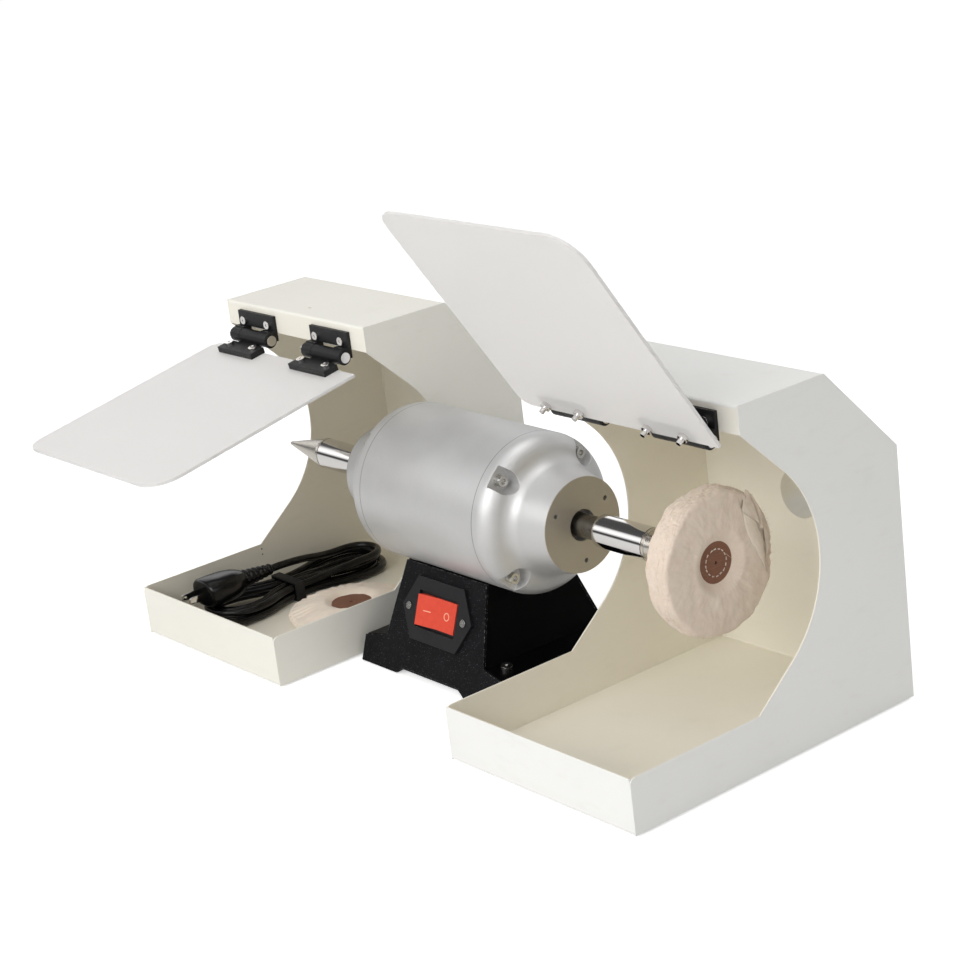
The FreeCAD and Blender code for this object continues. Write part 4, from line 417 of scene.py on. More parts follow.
def motor_aluminium():
    """Cast and turned aluminium under clear lacquer, with a dark joint at each bell and a painted beige
    reflection of the hoods on each bell face.
    """
    look = Look("motor_aluminium", Metallic=0.75)
    grain = look.noise(0.32, 2.0, 0.7)
    cloud = look.noise(26.0, 4.0, 0.6)
    base = look.g.blend(cloud, (0.57, 0.565, 0.56), (0.66, 0.66, 0.66))
    base = look.g.blend(look.g.maths("MULTIPLY", look.g.ramp(grain, (0.35, 0.0), (0.7, 1.0)), 0.3), base,
                        (0.76, 0.76, 0.76))
    base = look.g.blend(look.g.maths("MULTIPLY", look.edge(0.7, 0.02, 0.3), 0.5), base, (0.85, 0.85, 0.85))
    far = look.g.maths("ABSOLUTE", look.along("X"))
    before = look.between(far, BELL_JOINT - 0.0006, BELL_JOINT - 0.0003)
    after = look.between(far, BELL_JOINT + 0.0003, BELL_JOINT)
    joint = look.g.maths("MULTIPLY", before, after)
    base = look.g.blend(look.g.maths("MULTIPLY", joint, 0.75), base, (0.12, 0.12, 0.12))
    # Painted reflection: each bell face is tinted beige, standing in for the cream hoods that it mirrors.
    disc = look.between(far, BELL_FACE, BELL_FACE + 0.00025)
    base = look.g.blend(look.g.maths("MULTIPLY", disc, 0.85), base, (0.42, 0.385, 0.315))
    look.colour(base)
    look.rough(cloud, 0.44, 0.56)
    look.bump(grain, 0.03, 0.6, rounded=0.6)
    look.bump(look.noise(9.0, 2.0), 0.08, 0.25)
    return look


def bright_steel(name, tone, rough, groove=0.0, worn=0.12):
    """Metal with fine scratches; a groove is the pitch of turning marks along X."""
    look = Look(name, Metallic=1.0)
    cloud = look.noise(7.0, 4.0, 0.65)
    low = tuple(t * (1 - worn) for t in tone)
    look.colour(look.g.blend(cloud, low, tone))
    look.rough(cloud, rough * 0.8, rough * 1.3)
    look.bump(look.noise(0.25, 2.0), 0.008, 0.4, rounded=0.25)
    if groove:
        look.bump(look.waves(groove, "X", 0.6), 0.02, 0.35)
    return look


def crinkle_paint():
    """Black crinkle finish on the pedestal: shallow wrinkles, pale specks, and bare metal at worn edges."""
    look = Look("crinkle_paint", Specular_IOR_Level=0.08)
    lumps = look.noise(1.6, 3.0, 0.6, 1.2)
    specks = look.g.ramp(look.noise(0.9, 1.0), (0.66, 0.0), (0.74, 1.0))
    base = look.g.blend(look.noise(18.0, 3.0), (0.0045, 0.0045, 0.0052), (0.011, 0.011, 0.0125))
    base = look.g.blend(look.g.maths("MULTIPLY", specks, 0.55), base, (0.13, 0.13, 0.14))
    worn = look.g.ramp(look.noise(2.5, 3.0, 0.7), (0.5, 0.0), (0.62, 1.0))
    chips = look.g.maths("MULTIPLY", look.edge(0.8, 0.03, 0.25), worn)
    look.colour(look.g.blend(chips, base, (0.42, 0.41, 0.39)))
    look.rough(lumps, 0.55, 0.75)
    look.bump(lumps, 0.35, 0.7, rounded=0.7)
    look.bump(look.cells(1.1, "SMOOTH_F1"), 0.18, 0.6)
    return look


def gloss_paint(name="gloss_paint", tone=0.0015, rough=0.24, shine=0.06):
    """Smooth black paint with a slight haze."""
    look = Look(name, Specular_IOR_Level=shine)
    low, high = (tone, tone, tone * 1.1), (tone * 1.8, tone * 1.8, tone * 2)
    look.colour(look.g.blend(look.noise(30.0, 3.0), low, high))
    look.rough(look.noise(9.0, 4.0, 0.65), rough, rough * 1.8)
    look.bump(look.noise(3.0, 2.0), 0.03, 0.3, rounded=0.6)
    return look


def plastic(name, tone, rough, grain=0.3, depth=0.02, mottle=0.15, **fixed):
    """Moulded plastic: fine grain, slight mottling and soft edges."""
    look = Look(name, **fixed)
    low = tuple(t * (1 - mottle) for t in tone)
    look.colour(look.g.blend(look.noise(6.0, 3.0), low, tone))
    look.rough(look.noise(3.0, 3.0), rough * 0.85, min(1.0, rough * 1.25))
    look.bump(look.noise(grain, 2.0), depth, 0.6, rounded=0.35)
    return look


def shield_plastic():
    look = Look("shield_plastic", Transmission_Weight=0.42, IOR=1.38, Specular_IOR_Level=0.5)
    cloud = look.noise(55.0, 3.0)
    base = look.g.blend(cloud, (0.955, 0.94, 0.925), (0.985, 0.97, 0.955))
    # Painted highlight: the shield's edges are lightened towards a bluish white.
    edge = look.edge(0.9, 0.03, 0.3)
    look.colour(look.g.blend(look.g.maths("MULTIPLY", edge, 0.9), base, (0.99, 0.995, 1.0)))
    scratches = look.g.ramp(look.noise((0.6, 30.0, 30.0), 3.0, 0.7), (0.6, 0.0), (0.75, 1.0))
    look.rough(scratches, 0.42, 0.55)
    look.bump(look.noise(0.5, 2.0), 0.02, 0.4, rounded=0.5)
    return look


def rocker_red():
    # The faint red emission is a painted glow that brightens the rocker.
    look = Look("rocker_red", Specular_IOR_Level=0.4, Emission_Color=(1.0, 0.10, 0.05, 1),
                Emission_Strength=0.08)
    look.colour(look.g.blend(look.noise(5.0, 2.0), (0.60, 0.055, 0.030), (0.70, 0.080, 0.045)))
    look.rough(look.noise(4.0, 3.0), 0.16, 0.3)
    look.bump(look.noise(0.6, 2.0), 0.01, 0.3, rounded=0.5)
    return look


def lamination():
    look = Look("lamination", Metallic=1.0)
    look.colour(look.g.blend(look.waves(1.0, "X"), (0.14, 0.14, 0.15), (0.34, 0.34, 0.35)))
    look.rough(look.noise(3.0, 3.0), 0.4, 0.6)
    look.bump(look.waves(1.0, "X"), 0.1, 0.6)
    return look


def copper():
    look = Look("copper", Metallic=1.0)
    strands = look.noise((6.0, 0.8, 0.8), 2.0, 0.6, 0.5)
    look.colour(look.g.blend(strands, (0.42, 0.15, 0.06), (0.80, 0.40, 0.20)))
    look.rough(strands, 0.2, 0.4)
    look.bump(strands, 0.4, 0.7)
    return look


def saddle_iron():
    look = Look("saddle_iron", Metallic=0.6)
    grain = look.noise(1.2, 4.0, 0.7)
    look.colour(look.g.blend(grain, (0.02, 0.02, 0.022), (0.07, 0.07, 0.072)))
    look.rough(grain, 0.5, 0.75)
    look.bump(grain, 0.25, 0.7, rounded=0.6)
    return look


def muslin(name, weave_axes, low=(0.71, 0.575, 0.465), high=(0.87, 0.755, 0.65)):
    """Unbleached cotton: plain weave across two axes, slubs, and darker, dustier patches at random."""
    look = Look(name, Sheen_Weight=0.25, Sheen_Roughness=0.5, Specular_IOR_Level=0.2,
                Subsurface_Weight=0.08, Subsurface_Scale=0.004)
    weft = look.waves(0.8, weave_axes[0], 1.5)
    warp = look.waves(0.8, weave_axes[1], 1.5)
    weave = look.g.maths("MULTIPLY", weft, warp)
    slubs = look.g.ramp(look.noise((6.0, 0.7, 0.7), 2.0), (0.60, 0.0), (0.75, 1.0))
    dirt = look.noise(11.0, 4.0, 0.6)
    base = look.g.blend(dirt, low, high)
    base = look.g.blend(look.g.maths("MULTIPLY", weave, 0.16), base, (0.60, 0.49, 0.39))
    base = look.g.blend(look.g.maths("MULTIPLY", slubs, 0.35), base, (0.95, 0.89, 0.81))
    look.colour(base)
    look.rough(dirt, 0.82, 0.97)
    look.bump(weave, 0.12, 0.5)
    look.bump(look.noise(2.2, 3.0, 0.65), 0.35, 0.45)
    return look


def hub_fibre():
    look = Look("hub_fibre", Specular_IOR_Level=0.3)
    fibre = look.noise((1.0, 4.0, 0.8), 4.0, 0.7)
    look.colour(look.g.blend(fibre, (0.13, 0.052, 0.030), (0.31, 0.15, 0.095)))
    look.rough(fibre, 0.55, 0.8)
    look.bump(fibre, 0.15, 0.6)
    return look


LOOKS = {look.name: look.material for look in (
    hood_enamel(), motor_aluminium(), crinkle_paint(), shield_plastic(), rocker_red(), lamination(), copper(),
    saddle_iron(), hub_fibre(), gloss_paint(), gloss_paint("base_paint", 0.008, 0.45, 0.2),
    muslin("muslin", "YZ"), muslin("muslin_flat", "XY", (0.90, 0.75, 0.61), (0.97, 0.885, 0.78)),
    bright_steel("plated_steel", (0.66, 0.65, 0.62), 0.22),
    bright_steel("bearing_steel", (0.72, 0.72, 0.72), 0.12),
    bright_steel("shaft_steel", (0.30, 0.285, 0.27), 0.28, groove=0.6, worn=0.3),
    bright_steel("chrome_plate", (0.80, 0.78, 0.77), 0.06, worn=0.05),
    bright_steel("satin_steel", (0.66, 0.62, 0.56), 0.24, groove=0.35),
    plastic("capacitor_case", (0.74, 0.74, 0.71), 0.42),
    plastic("foot_rubber", (0.012, 0.012, 0.012), 0.75, 0.8, 0.08, Specular_IOR_Level=0.25),
    plastic("switch_plate_plastic", (0.010, 0.010, 0.012), 0.5, 0.5, 0.06, Specular_IOR_Level=0.3),
    plastic("switch_black", (0.006, 0.006, 0.007), 0.3, Specular_IOR_Level=0.35),
    plastic("terminal_plastic", (0.80, 0.79, 0.74), 0.4),
    plastic("hinge_plastic", (0.008, 0.008, 0.009), 0.42, 0.45, 0.04, Specular_IOR_Level=0.35),
    plastic("cord_pvc", (0.0028, 0.0028, 0.003), 0.2, 0.9, 0.01, Specular_IOR_Level=0.35),
    plastic("tie_strap", (0.012, 0.012, 0.013), 0.5, 0.7, 0.05, Specular_IOR_Level=0.3),
    plastic("mark_pale", (0.95, 0.42, 0.28), 0.5, 0.4, 0.01),
    # hole_dark is painted shade: the dark of the pin holes, laid on beads.
    plastic("hole_dark", (0.02, 0.018, 0.015), 0.8, 0.4, 0.02),
)}
for part in frame["record"]["subparts"]:
    mesh = node[part["node"]].data
    mesh.materials.clear()
    mesh.materials.append(LOOKS[part["material_slot"]])
lead.data.materials.append(LOOKS["cord_pvc"])

# Muslin buffs

HUB_X = 0.2616
AXIS_Z = 0.137
CLOTH_INNER = 12.0
MOUNTED_RADIUS, MOUNTED_HALF = 53.6, 8.8
# How much fuller the buff is behind its middle, and how the tear grows from the radius it is drawn for
REAR_FULLNESS = 1.5
TEAR_DRAWN_FOR = 50.2
TORN_GROWTH = MOUNTED_RADIUS / TEAR_DRAWN_FOR


def smooth(value, low, high):
    """0 below low, 1 above high, rounded in between."""
    share = min(1.0, max(0.0, (value - low) / (high - low)))
    return share * share * (3 - 2 * share)


def make_mesh(name, points, faces, look, body):
    """A smooth-shaded piece that rides on a body."""
    mesh = bpy.data.meshes.new(name)
    mesh.from_pydata(points, [], faces)
    mesh.polygons.foreach_set("use_smooth", [True] * len(mesh.polygons))
    mesh.materials.append(LOOKS[look])
    mesh.update()
    piece = link(bpy.data.objects.new(name, mesh))
    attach(piece, body)
    return piece


def buff_section(radius, half, core, corner, crown):
    """Section of the cloth, front hub edge to rear hub edge, as (x, radius) in millimetres."""
    front = []
    edge = radius - crown - corner
    steps = 26
    for number in range(steps):
        r = core + (edge - core) * number / steps
        share = 0.20 + 0.74 * smooth(r, core, core + 12) + 0.06 * smooth(r, core + 8, edge)
        front.append((half * share, r))
    steps = 14
    for number in range(steps):
        turn = math.pi / 2 * number / steps
        front.append((half - corner + corner * math.cos(turn), edge + corner * math.sin(turn)))
    steps = 30
    for number in range(steps):
        share = 1 - number / steps
        front.append(((half - corner) * share, radius - crown * share ** 2))
    return front + [(0.0, radius)] + [(-x, r) for x, r in reversed(front)]


def make_buff(name, section, shape, look, body, turns=420):
    """A closed ring of cloth; shape moves each point, given its angle and its place in the section."""
    points, faces = [], []
    rows = len(section)
    for turn in range(turns):
        angle = math.tau * turn / turns
        for x, r in section:
            points.append(shape(angle, x, r))
    for turn in range(turns):
        here, there = turn * rows, (turn + 1) % turns * rows
        for row in range(rows):
            onward = (row + 1) % rows
            faces.append((here + row, there + row, there + onward, here + onward))
    return make_mesh(name, points, faces, look, body)


def ply_relief(angle, x, r, radius, half, seed, edges=9):
    """How far the plies stand out at the rim, in millimetres: layers side by side, each torn its own way."""
    around = Vector((math.cos(angle), math.sin(angle), 0.0))
    drift = 1.3 * noise.noise(around * 2.3 + Vector((0, 0, seed)))
    layer = (x + half) / (2 * half) * edges + drift
    groove = abs(math.sin(layer * math.pi))
    torn = noise.noise(around * 9.0 + Vector((0, 0, math.floor(layer) * 3.7 + seed)))
    frayed = noise.noise(around * 46.0 + Vector((0, 0, layer * 0.8 + seed)))
    return smooth(r, radius - 5, radius) * (0.45 * groove ** 0.5 - 0.3 + 1.0 * torn + 0.6 * frayed)


TEAR_TOP, TEAR_LOW = Vector((21.5, 31.5)) * TORN_GROWTH, Vector((39.0, -17.0)) * TORN_GROWTH


def tear_depth(y, z):
    """How far the front face is torn away outside the line of the tear, in millimetres."""
    down = (TEAR_TOP.y - z) / (TEAR_TOP.y - TEAR_LOW.y)
    if y < 15 or y < TEAR_TOP.x + (TEAR_LOW.x - TEAR_TOP.x) * down:
        return 0.0
    chord = TEAR_LOW - TEAR_TOP
    place = Vector((y, z)) - TEAR_TOP
    beyond = abs(place.cross(chord)) / chord.length
    along = place.dot(chord) / chord.length_squared
    there = smooth(beyond, 0.0, 3.0) * smooth(along, -0.2, 0.05) * (1 - smooth(along, 0.95, 1.15))
    ridges = 0.8 * math.sin(beyond * 1.5 + along * 5) + 0.6 * noise.noise(Vector((y, z, 7)) * 0.3)
    return there * (2.6 + ridges)


def mounted_shape(angle, x, r):
    """The mounted buff: full at the rim, dished at the hub, with one side torn open."""
    radius, half = MOUNTED_RADIUS, MOUNTED_HALF
    y, z = r * math.cos(angle), r * math.sin(angle)
    around = Vector((math.cos(angle), math.sin(angle), 0.0))
    side = 1 if x > 0 else -1
    swell = 0.75 * noise.noise(around * 1.7 + Vector((side * 3.0, 0, r * 0.03)))
    puckers = 0.16 * noise.noise(around * 9.0 + Vector((side * 5.0, 0, 4.0)))
    puckers *= smooth(r, 16, 22) * (1 - smooth(r, 30, 40))
    crumple = 0.55 * noise.fractal(Vector((y, z, side * 40)) * 0.13, 1.0, 2.0, 3)
    crumple -= 0.5 * smooth(r, 19, 21) * (1 - smooth(r, 21, 24))
    out = r + ply_relief(angle, x, r, radius, half, 1.5)
    out += 1.2 * noise.noise(around * 3.1 + Vector((0, 0, 9.0))) * smooth(r, 40, 50)
    ruffle = swell * smooth(r, 22, 40) + puckers + crumple * smooth(r, 18, 24)
    wide = x + side * ruffle * smooth(abs(x), 0.5, 4)
    wide -= tear_depth(y, z) * smooth(x, 0.5, 6.0)
    share = out / r
    wide *= 1.0 if x > 0 else REAR_FULLNESS
    return ((HUB_X * 1000 + wide) * MM, y * share * MM, AXIS_Z + z * share * MM)


SPARE = Vector((-176.2, -15.35, 0.0))
SPARE_FLOOR = 3.6
SPARE_RADIUS, SPARE_HALF = 54.0, 6.4


def spare_shape(angle, x, r):
    """The spare buff, laid flat: thin and loose, with deep pleats on the side by the lead."""
    radius = SPARE_RADIUS
    around = Vector((math.cos(angle), math.sin(angle), 0.0))
    side = 1 if x > 0 else -1
    pleat_side = smooth(math.cos(angle - math.radians(205)), -0.35, 0.6)
    pleats = 0.6 * math.sin(angle * 31 + 7.0 * noise.noise(around * 2.0)) + 1.1 * noise.noise(around * 8.0)
    relief = pleats * (0.06 + 0.62 * pleat_side) * smooth(r, 26, 40) * (1 - 0.55 * smooth(r, 48, 54))
    relief += 0.9 * noise.noise(around * 1.9 + Vector((0, 0, r * 0.04 + side)))
    relief += 0.30 * noise.fractal(Vector((r * around.x, r * around.y, side * 30)) * 0.13, 1.0, 2.0, 3)
    reach = r + ply_relief(angle, x, r, radius, SPARE_HALF, 8.5, 7)
    lumps = 1.6 * noise.noise(around * 2.6 + Vector((0, 0, 2.0))) + 0.7 * pleats * pleat_side
    reach += smooth(r, 38, 54) * lumps
    thin = 1 - 0.5 * smooth(r, 22, 54)
    height = SPARE_FLOOR + (SPARE_HALF + x) * thin + (relief * smooth(x, 0, 3) if side > 0 else 0.0)
    place_x, place_y = SPARE.x + reach * around.x, SPARE.y + reach * around.y
    return (place_x * MM, place_y * MM, max(height, SPARE_FLOOR) * MM)


def smooth_line(corners, steps):
    """Points of a smooth curve through the corners."""
    ends = [corners[0] * 2 - corners[1], *corners, corners[-1] * 2 - corners[-2]]
    made = []
    for number in range(steps + 1):
        place = number / steps * (len(corners) - 1)
        first = min(int(place), len(corners) - 2)
        t = place - first
        a, b, c, d = ends[first:first + 4]
        made.append((b * 2 + (c - a) * t + (a * 2 - b * 5 + c * 4 - d) * t * t
                     + (b * 3 - a - c * 3 + d) * t * t * t) / 2)
    return made


def make_fold(name, near, far, lift, curl, seed):
    """A loose flap of torn muslin between two lines on the mounted buff's face, as (y, z, height)."""
    steps, across = 30, 8
    near = smooth_line([Vector(p) for p in near], steps)
    far = smooth_line([Vector(p) for p in far], steps)
    points, faces = [], []
    for number in range(steps + 1):
        for cross in range(across + 1):
            share = cross / across
            place = near[number].lerp(far[number], share)
            arch = math.sin(math.pi * share) * lift + share * share * curl
            ripple = 0.45 * noise.noise(Vector((place.x, place.y, seed)) * 0.35)
            x = HUB_X * 1000 + 8.2 + place.z + arch + ripple
            points.append((x * MM, place.x * TORN_GROWTH * MM, AXIS_Z + place.y * TORN_GROWTH * MM))
    for number in range(steps):
        for cross in range(across):
            here = number * (across + 1) + cross
            faces.append((here, here + 1, here + across + 2, here + across + 1))
    fold = make_mesh(name, points, faces, "muslin", "spindle")
    thick = fold.modifiers.new("cloth", "SOLIDIFY")
    thick.thickness, thick.offset = 0.45 * MM, 0.0
    return fold


def make_threads(name, starts, body, look, width=0.13):
    """Frayed ends: thin tapering threads, each from a start along its way in millimetres."""
    points, faces = [], []
    sides = 4
    for start, way, length, bend in starts:
        way = way.normalized()
        aside = way.cross(bend).normalized()
        across = way.cross(aside)
        base = len(points)
        steps = 7
        for number in range(steps):
            share = number / (steps - 1)
            middle = start + way * (length * share) + bend * (length * share * share)
            thick = width * (1 - 0.75 * share)
            for corner in range(sides):
                turn = math.tau * corner / sides
                off = aside * (thick * math.cos(turn)) + across * (thick * math.sin(turn))
                points.append(tuple((middle + off) * MM))
        for number in range(steps - 1):
            for corner in range(sides):
                a = base + number * sides + corner
                b = base + number * sides + (corner + 1) % sides
                faces.append((a, b, b + sides, a + sides))
    return make_mesh(name, points, faces, look, body)


# The long end at the lower left, the one that crosses the tear, and one by the hub: start, way, length, bend
LOOSE_ENDS = [
    ((268.0, -32.0, 100.0), (0.1, -0.62, -0.75), 12.5, (0, 0.05, -0.1)),
    ((272.6, 35.0, 152.0), (0.05, 1.0, 0.22), 13.0, (0.02, 0.0, -0.12)),
    ((266.2, 9.0, 141.0), (0.45, 0.5, -0.8), 9.0, (-0.1, 0.1, 0.12))]


def mounted_threads():
    """Short frayed ends all round the rim, and the three long ones."""
    draw = random.Random(11)
    starts = []
    for _ in range(230):
        angle = draw.uniform(0, math.tau)
        side = draw.choice((-1, 1)) * draw.uniform(2.0, 7.2)
        out = Vector((0, math.cos(angle), math.sin(angle)))
        start = Vector((HUB_X * 1000 + side, 0, 137.0)) + out * (MOUNTED_RADIUS - 0.8)
        turn = Vector((0, -out.z, out.y)) * draw.uniform(-1.2, 1.2)
        way = out * draw.uniform(0.35, 1.0) + turn + Vector((draw.uniform(-0.6, 0.6), 0, 0))
        bend = Vector((draw.uniform(-0.3, 0.3), draw.uniform(-0.3, 0.3), draw.uniform(-0.5, 0.1)))
        starts.append((start, way, draw.uniform(1.0, 3.2), bend))
    for start, way, length, bend in LOOSE_ENDS:
        starts.append((Vector(start), Vector(way), length, Vector(bend)))
    return starts


def make_stitches(name, centre, across, up, radius, count, look, body, seed, reach=2.6):
    """A ring of thread stitches sewn through a fibre disc, each a short bowed strand."""
    draw = random.Random(seed)
    starts = []
    for number in range(count):
        angle = math.tau * (number + draw.uniform(-0.12, 0.12)) / count
        out = across * math.cos(angle) + up * math.sin(angle)
        way = up * math.cos(angle) - across * math.sin(angle)
        normal = across.cross(up)
        start = centre + out * (radius + draw.uniform(-0.25, 0.25)) - way * (reach / 2) + normal * 0.12
        for strand in (-0.28, 0.0, 0.28):
            length = reach * draw.uniform(0.85, 1.05)
            starts.append((start + out * strand, way, length, normal * 0.03 - out * 0.05))
    return make_threads(name, starts, body, look, 0.3)


mounted_section = buff_section(MOUNTED_RADIUS, MOUNTED_HALF, CLOTH_INNER, 3.0, 0.9)
buff = make_buff("mounted_muslin", mounted_section, mounted_shape, "muslin", "spindle")
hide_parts("polishing_buff")
make_fold("torn_fold_leaf", [(22.0, 30.0, 0.2), (27.0, 10.5, 0.0), (38.8, -17.0, -0.6)],
          [(34.2, 18.5, 0.6), (38.6, 4.0, 0.4), (39.6, -16.6, -0.6)], 0.9, 0.5, 3.0)
make_fold("torn_fold_upper", [(29.6, 42.0, -2.6), (24.6, 35.2, -0.4), (22.2, 29.6, 0.1)],
          [(31.2, 40.6, -2.6), (34.6, 28.0, -0.4), (37.4, 16.0, 0.2)], 0.7, 1.2, 5.0)
make_fold("torn_fold_rim", [(33.6, 38.0, -2.8), (40.6, 19.0, -1.8), (42.2, -1.0, -1.4), (40.6, -13.5, -1.8)],
          [(35.4, 36.4, -3.2), (46.0, 17.6, -2.6), (48.0, 1.0, -2.4), (42.6, -13.0, -2.4)], 0.8, -0.9, 8.0)
make_fold("torn_fold_strip", [(31.4, 37.0, -1.8), (34.6, 25.0, -1.2), (36.8, 12.0, -0.9)],
          [(33.4, 37.6, -1.4), (38.6, 25.6, -0.2), (40.8, 13.0, -0.3)], 0.5, 0.6, 12.0)
make_threads("mounted_threads", mounted_threads(), "spindle", "muslin")
STITCHED_FACE = Vector((264.6, 0, 137.0))
STITCH_RADIUS, STITCHES = 10.0, 16
make_stitches("hub_stitches", STITCHED_FACE, Vector((0, 1, 0)), Vector((0, 0, 1)), STITCH_RADIUS, STITCHES,
              "muslin", "spindle", 5)
spare_section = buff_section(SPARE_RADIUS, SPARE_HALF, CLOTH_INNER, 2.5, 1.4)
spare = make_buff("spare_muslin", spare_section, spare_shape, "muslin_flat", "root")
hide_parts("spare_buff")

# The plug's moulding, the marks, the weld runs and the pin holes

def tube_ring(middle, across, up, wide, high, corners, square=2.0):
    """One closed ring of points: an ellipse, or a rounder square as the exponent grows."""
    ring = []
    for number in range(corners):
        turn = math.tau * number / corners
        c, s = math.cos(turn), math.sin(turn)
        ring.append(middle + across * (math.copysign(abs(c) ** (2 / square), c) * wide)
                    + up * (math.copysign(abs(s) ** (2 / square), s) * high))
    return ring


def loft(rings):
    """Points and faces of a closed skin through rings of the same count, with a cap at each end."""
    corners = len(rings[0])
    points = [tuple(point * MM) for ring in rings for point in ring]
    faces = []
    for number in range(len(rings) - 1):
        for corner in range(corners):
            here = number * corners + corner
            onward = number * corners + (corner + 1) % corners
            faces.append((here, onward, onward + corners, here + corners))
    faces.append(tuple(range(corners))[::-1])
    faces.append(tuple(range((len(rings) - 1) * corners, len(rings) * corners)))
    return points, faces


PLUG_MIDDLE = Vector((-263.2, -145.35, 30.9))
# The moulding from its pin face to the lead: (place along the tray, half width, half height, squareness)
PLUG_SECTIONS = [
    (38.6, 10.5, 7.4, 2.4), (38.2, 13.6, 9.6, 2.6), (38.9, 15.4, 11.0, 2.8), (41.0, 16.6, 11.8, 3.0),
    (52.0, 16.9, 12.0, 3.0), (60.0, 16.6, 12.0, 2.9), (66.0, 15.2, 11.8, 2.7), (71.0, 13.2, 11.3, 2.5),
    (75.0, 11.2, 10.2, 2.3), (78.0, 9.4, 9.0, 2.2), (79.6, 8.0, 8.0, 2.0)]
RELIEF_RIBS = 6


def make_plug():
    """The plug's moulding with its ribbed relief, and its two blades."""
    across, up = Vector((1, 0, 0)), Vector((0, 0, 1))
    rings = [tube_ring(PLUG_MIDDLE + Vector((0, y, 0)), across, up, wide, high, 48, square)
             for y, wide, high, square in PLUG_SECTIONS]
    start, end = PLUG_SECTIONS[-1][0] + 0.3, 109.8
    steps = RELIEF_RIBS * 10
    for number in range(steps + 1):
        share = number / steps
        rib = abs(math.sin(share * RELIEF_RIBS * math.pi)) ** 0.6
        radius = 8.2 - 3.4 * share - 1.5 * (1 - rib)
        middle = PLUG_MIDDLE + Vector((0, start + (end - start) * share, 0))
        rings.append(tube_ring(middle, across, up, radius, radius, 48))
    points, faces = loft(rings)
    plug = make_mesh("plug_moulding", points, faces, "cord_pvc", "root")
    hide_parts("mains_plug")
    for side in (-1, 1):
        rings = []
        for y, wide, high in ((39.5, 0.75, 3.15), (24.5, 0.75, 3.15), (22.4, 0.70, 2.9), (21.2, 0.35, 2.1)):
            middle = PLUG_MIDDLE + Vector((side * 6.35, y, 0))
            rings.append(tube_ring(middle, across, up, wide, high, 24, 5.0))
        points, faces = loft(rings)
        make_mesh("plug_blade_%d" % (side + 2), points, faces, "chrome_plate", "root")
    return plug


def surface_of(name):
    """A node's surface, to lay marks on."""
    mesh = node[name].data
    return BVHTree.FromPolygons([vertex.co[:] for vertex in mesh.vertices],
                                [face.vertices[:] for face in mesh.polygons])


def laid(tree, point, up):
    """A point in millimetres, dropped on a surface from above it."""
    hit = tree.ray_cast((point + up * 12) * MM, -up)[0]
    return hit / MM if hit else point


def make_beads(name, lines, up, width, height, look, body="root", on=None, uneven=0.0):
    """Raised runs with a rounded section, laid along lines of points on a surface that faces up."""
    tree = surface_of(on) if on else None
    points, faces = [], []
    sides = 7
    for number, line in enumerate(lines):
        closed = (line[0] - line[-1]).length < 0.01
        line = smooth_line(line, max(6, len(line) * 8))
        if tree:
            line = [laid(tree, point, up) for point in line]
        base = len(points)
        for place, point in enumerate(line):
            share = place / (len(line) - 1)
            ahead = line[min(place + 1, len(line) - 1)] - line[max(place - 1, 0)]
            across = up.cross(ahead).normalized()
            full = 1.0 if closed else max(0.05, 1 - abs(2 * share - 1) ** 10)
            full *= 1 + uneven * noise.noise(point * 0.9 + Vector((0, 0, number)))
            for side in range(sides):
                turn = math.pi * side / (sides - 1)
                aside = across * (math.cos(turn) * width / 2 * full)
                points.append(tuple((point + aside + up * (math.sin(turn) * height * full - 0.04)) * MM))
        for place in range(len(line) - 1):
            for side in range(sides - 1):
                here = base + place * sides + side
                faces.append((here, here + sides, here + sides + 1, here + 1))
    return make_mesh(name, points, faces, look, body)


def ring_line(centre, across, up, radius, count=24):
    """A circle of points whose last one is the first again."""
    turns = [math.tau * number / count for number in range(count + 1)]
    return [centre + across * (radius * math.cos(turn)) + up * (radius * math.sin(turn)) for turn in turns]


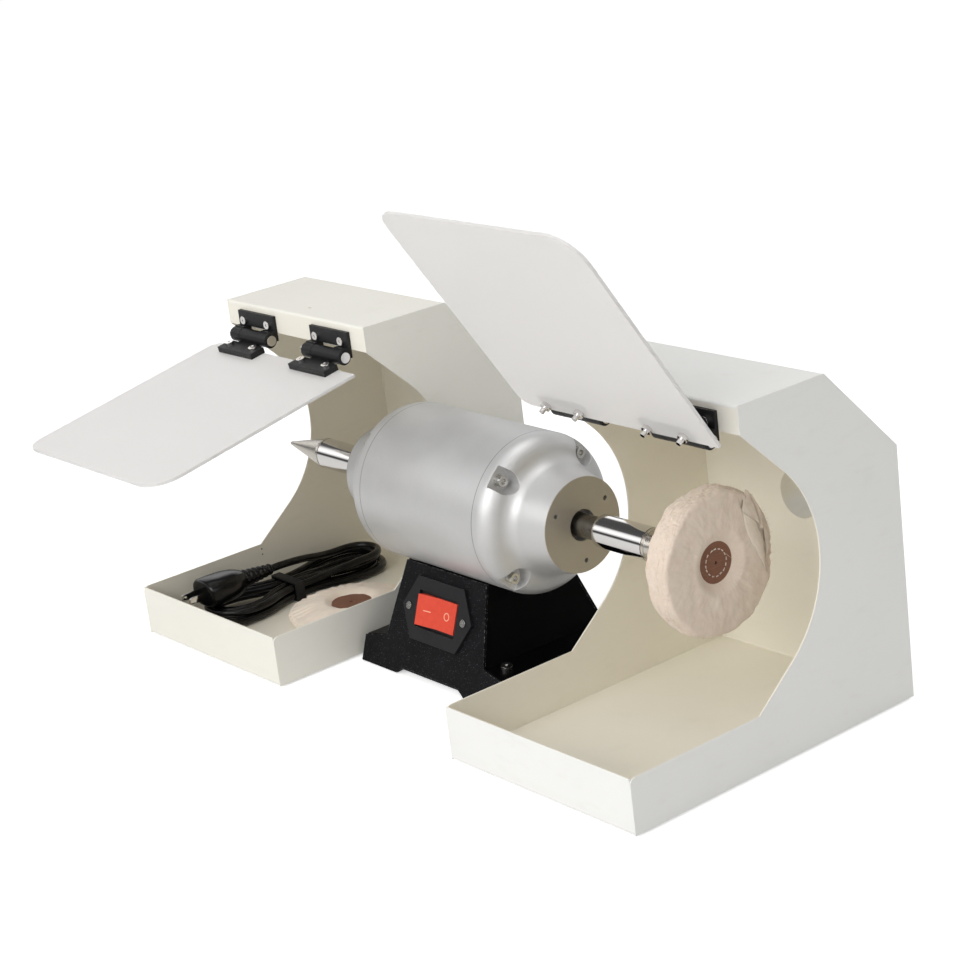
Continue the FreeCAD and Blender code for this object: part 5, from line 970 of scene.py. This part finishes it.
def make_rocker_marks():
    """The usual signs on the rocker: a dash for on and a ring for off."""
    low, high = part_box("switch_rocker")
    centre = (Vector(low) + Vector(high)) / 2 / MM
    out = Vector((0, -1, 0.36)).normalized()
    rise = Vector((0, 0.36, 1)).normalized()
    across = Vector((1, 0, 0))
    left, right = centre - across * 10.5, centre + across * 10.5
    make_beads("rocker_marks", [[left - across * 4.0, left, left + across * 4.0],
                                ring_line(right, across, rise, 2.9)],
               out, 1.1, 0.07, "mark_pale", "rocker", "switch_rocker")


TRAY_LEFT, TRAY_BACK, TRAY_FLOOR = -293.0, 129.45, 3.2
RIGHT_HOOD_INNER = 124.3


def make_weld_runs():
    """Short runs of weld in the left hood's corner seams, enamelled over."""
    draw = random.Random(21)
    along_floor, up_corner = [], []
    for number in range(9):
        start = Vector((TRAY_LEFT + 0.2, -118.0 + 27.0 * number + draw.uniform(-3, 3), TRAY_FLOOR + 0.2))
        along_floor.append([start, start + Vector((0, draw.uniform(9, 15), 0))])
    for number in range(6):
        start = Vector((TRAY_LEFT + 0.2, TRAY_BACK - 0.2, 14.0 + 32.0 * number + draw.uniform(-3, 3)))
        up_corner.append([start, start + Vector((0, 0, draw.uniform(9, 14)))])
    make_beads("floor_seam_weld", along_floor, Vector((1, 0, 1)).normalized(), 2.4, 0.8, "hood_enamel",
               uneven=0.45)
    make_beads("corner_seam_weld", up_corner, Vector((1, -1, 0)).normalized(), 2.4, 0.8, "hood_enamel",
               uneven=0.45)


def make_pin_holes():
    """The small dark holes in the hoods, drawn as dark beads that paint the shade inside each hole: two in
    the left panel, one in the right hood's corner.
    """
    panel = [Vector((TRAY_LEFT, -24.0, TRAY_FLOOR + height)) for height in (36.0, 31.0)]
    step = Vector((0, 0.7, 0))
    runs = [[spot - step, spot + step] for spot in panel]
    make_beads("panel_pin_holes", runs, Vector((1, 0, 0)), 1.3, 0.12, "hole_dark")
    corner = Vector((RIGHT_HOOD_INNER + 4.0, TRAY_BACK, TRAY_FLOOR + 4.0))
    step = Vector((1.0, 0, 0))
    make_beads("corner_pin_hole", [[corner - step, corner + step]], Vector((0, -1, 0)), 2.2, 0.12,
               "hole_dark")


plug = make_plug()
exit_point = lead_route()[0]
make_rocker_marks()
make_weld_runs()
make_pin_holes()
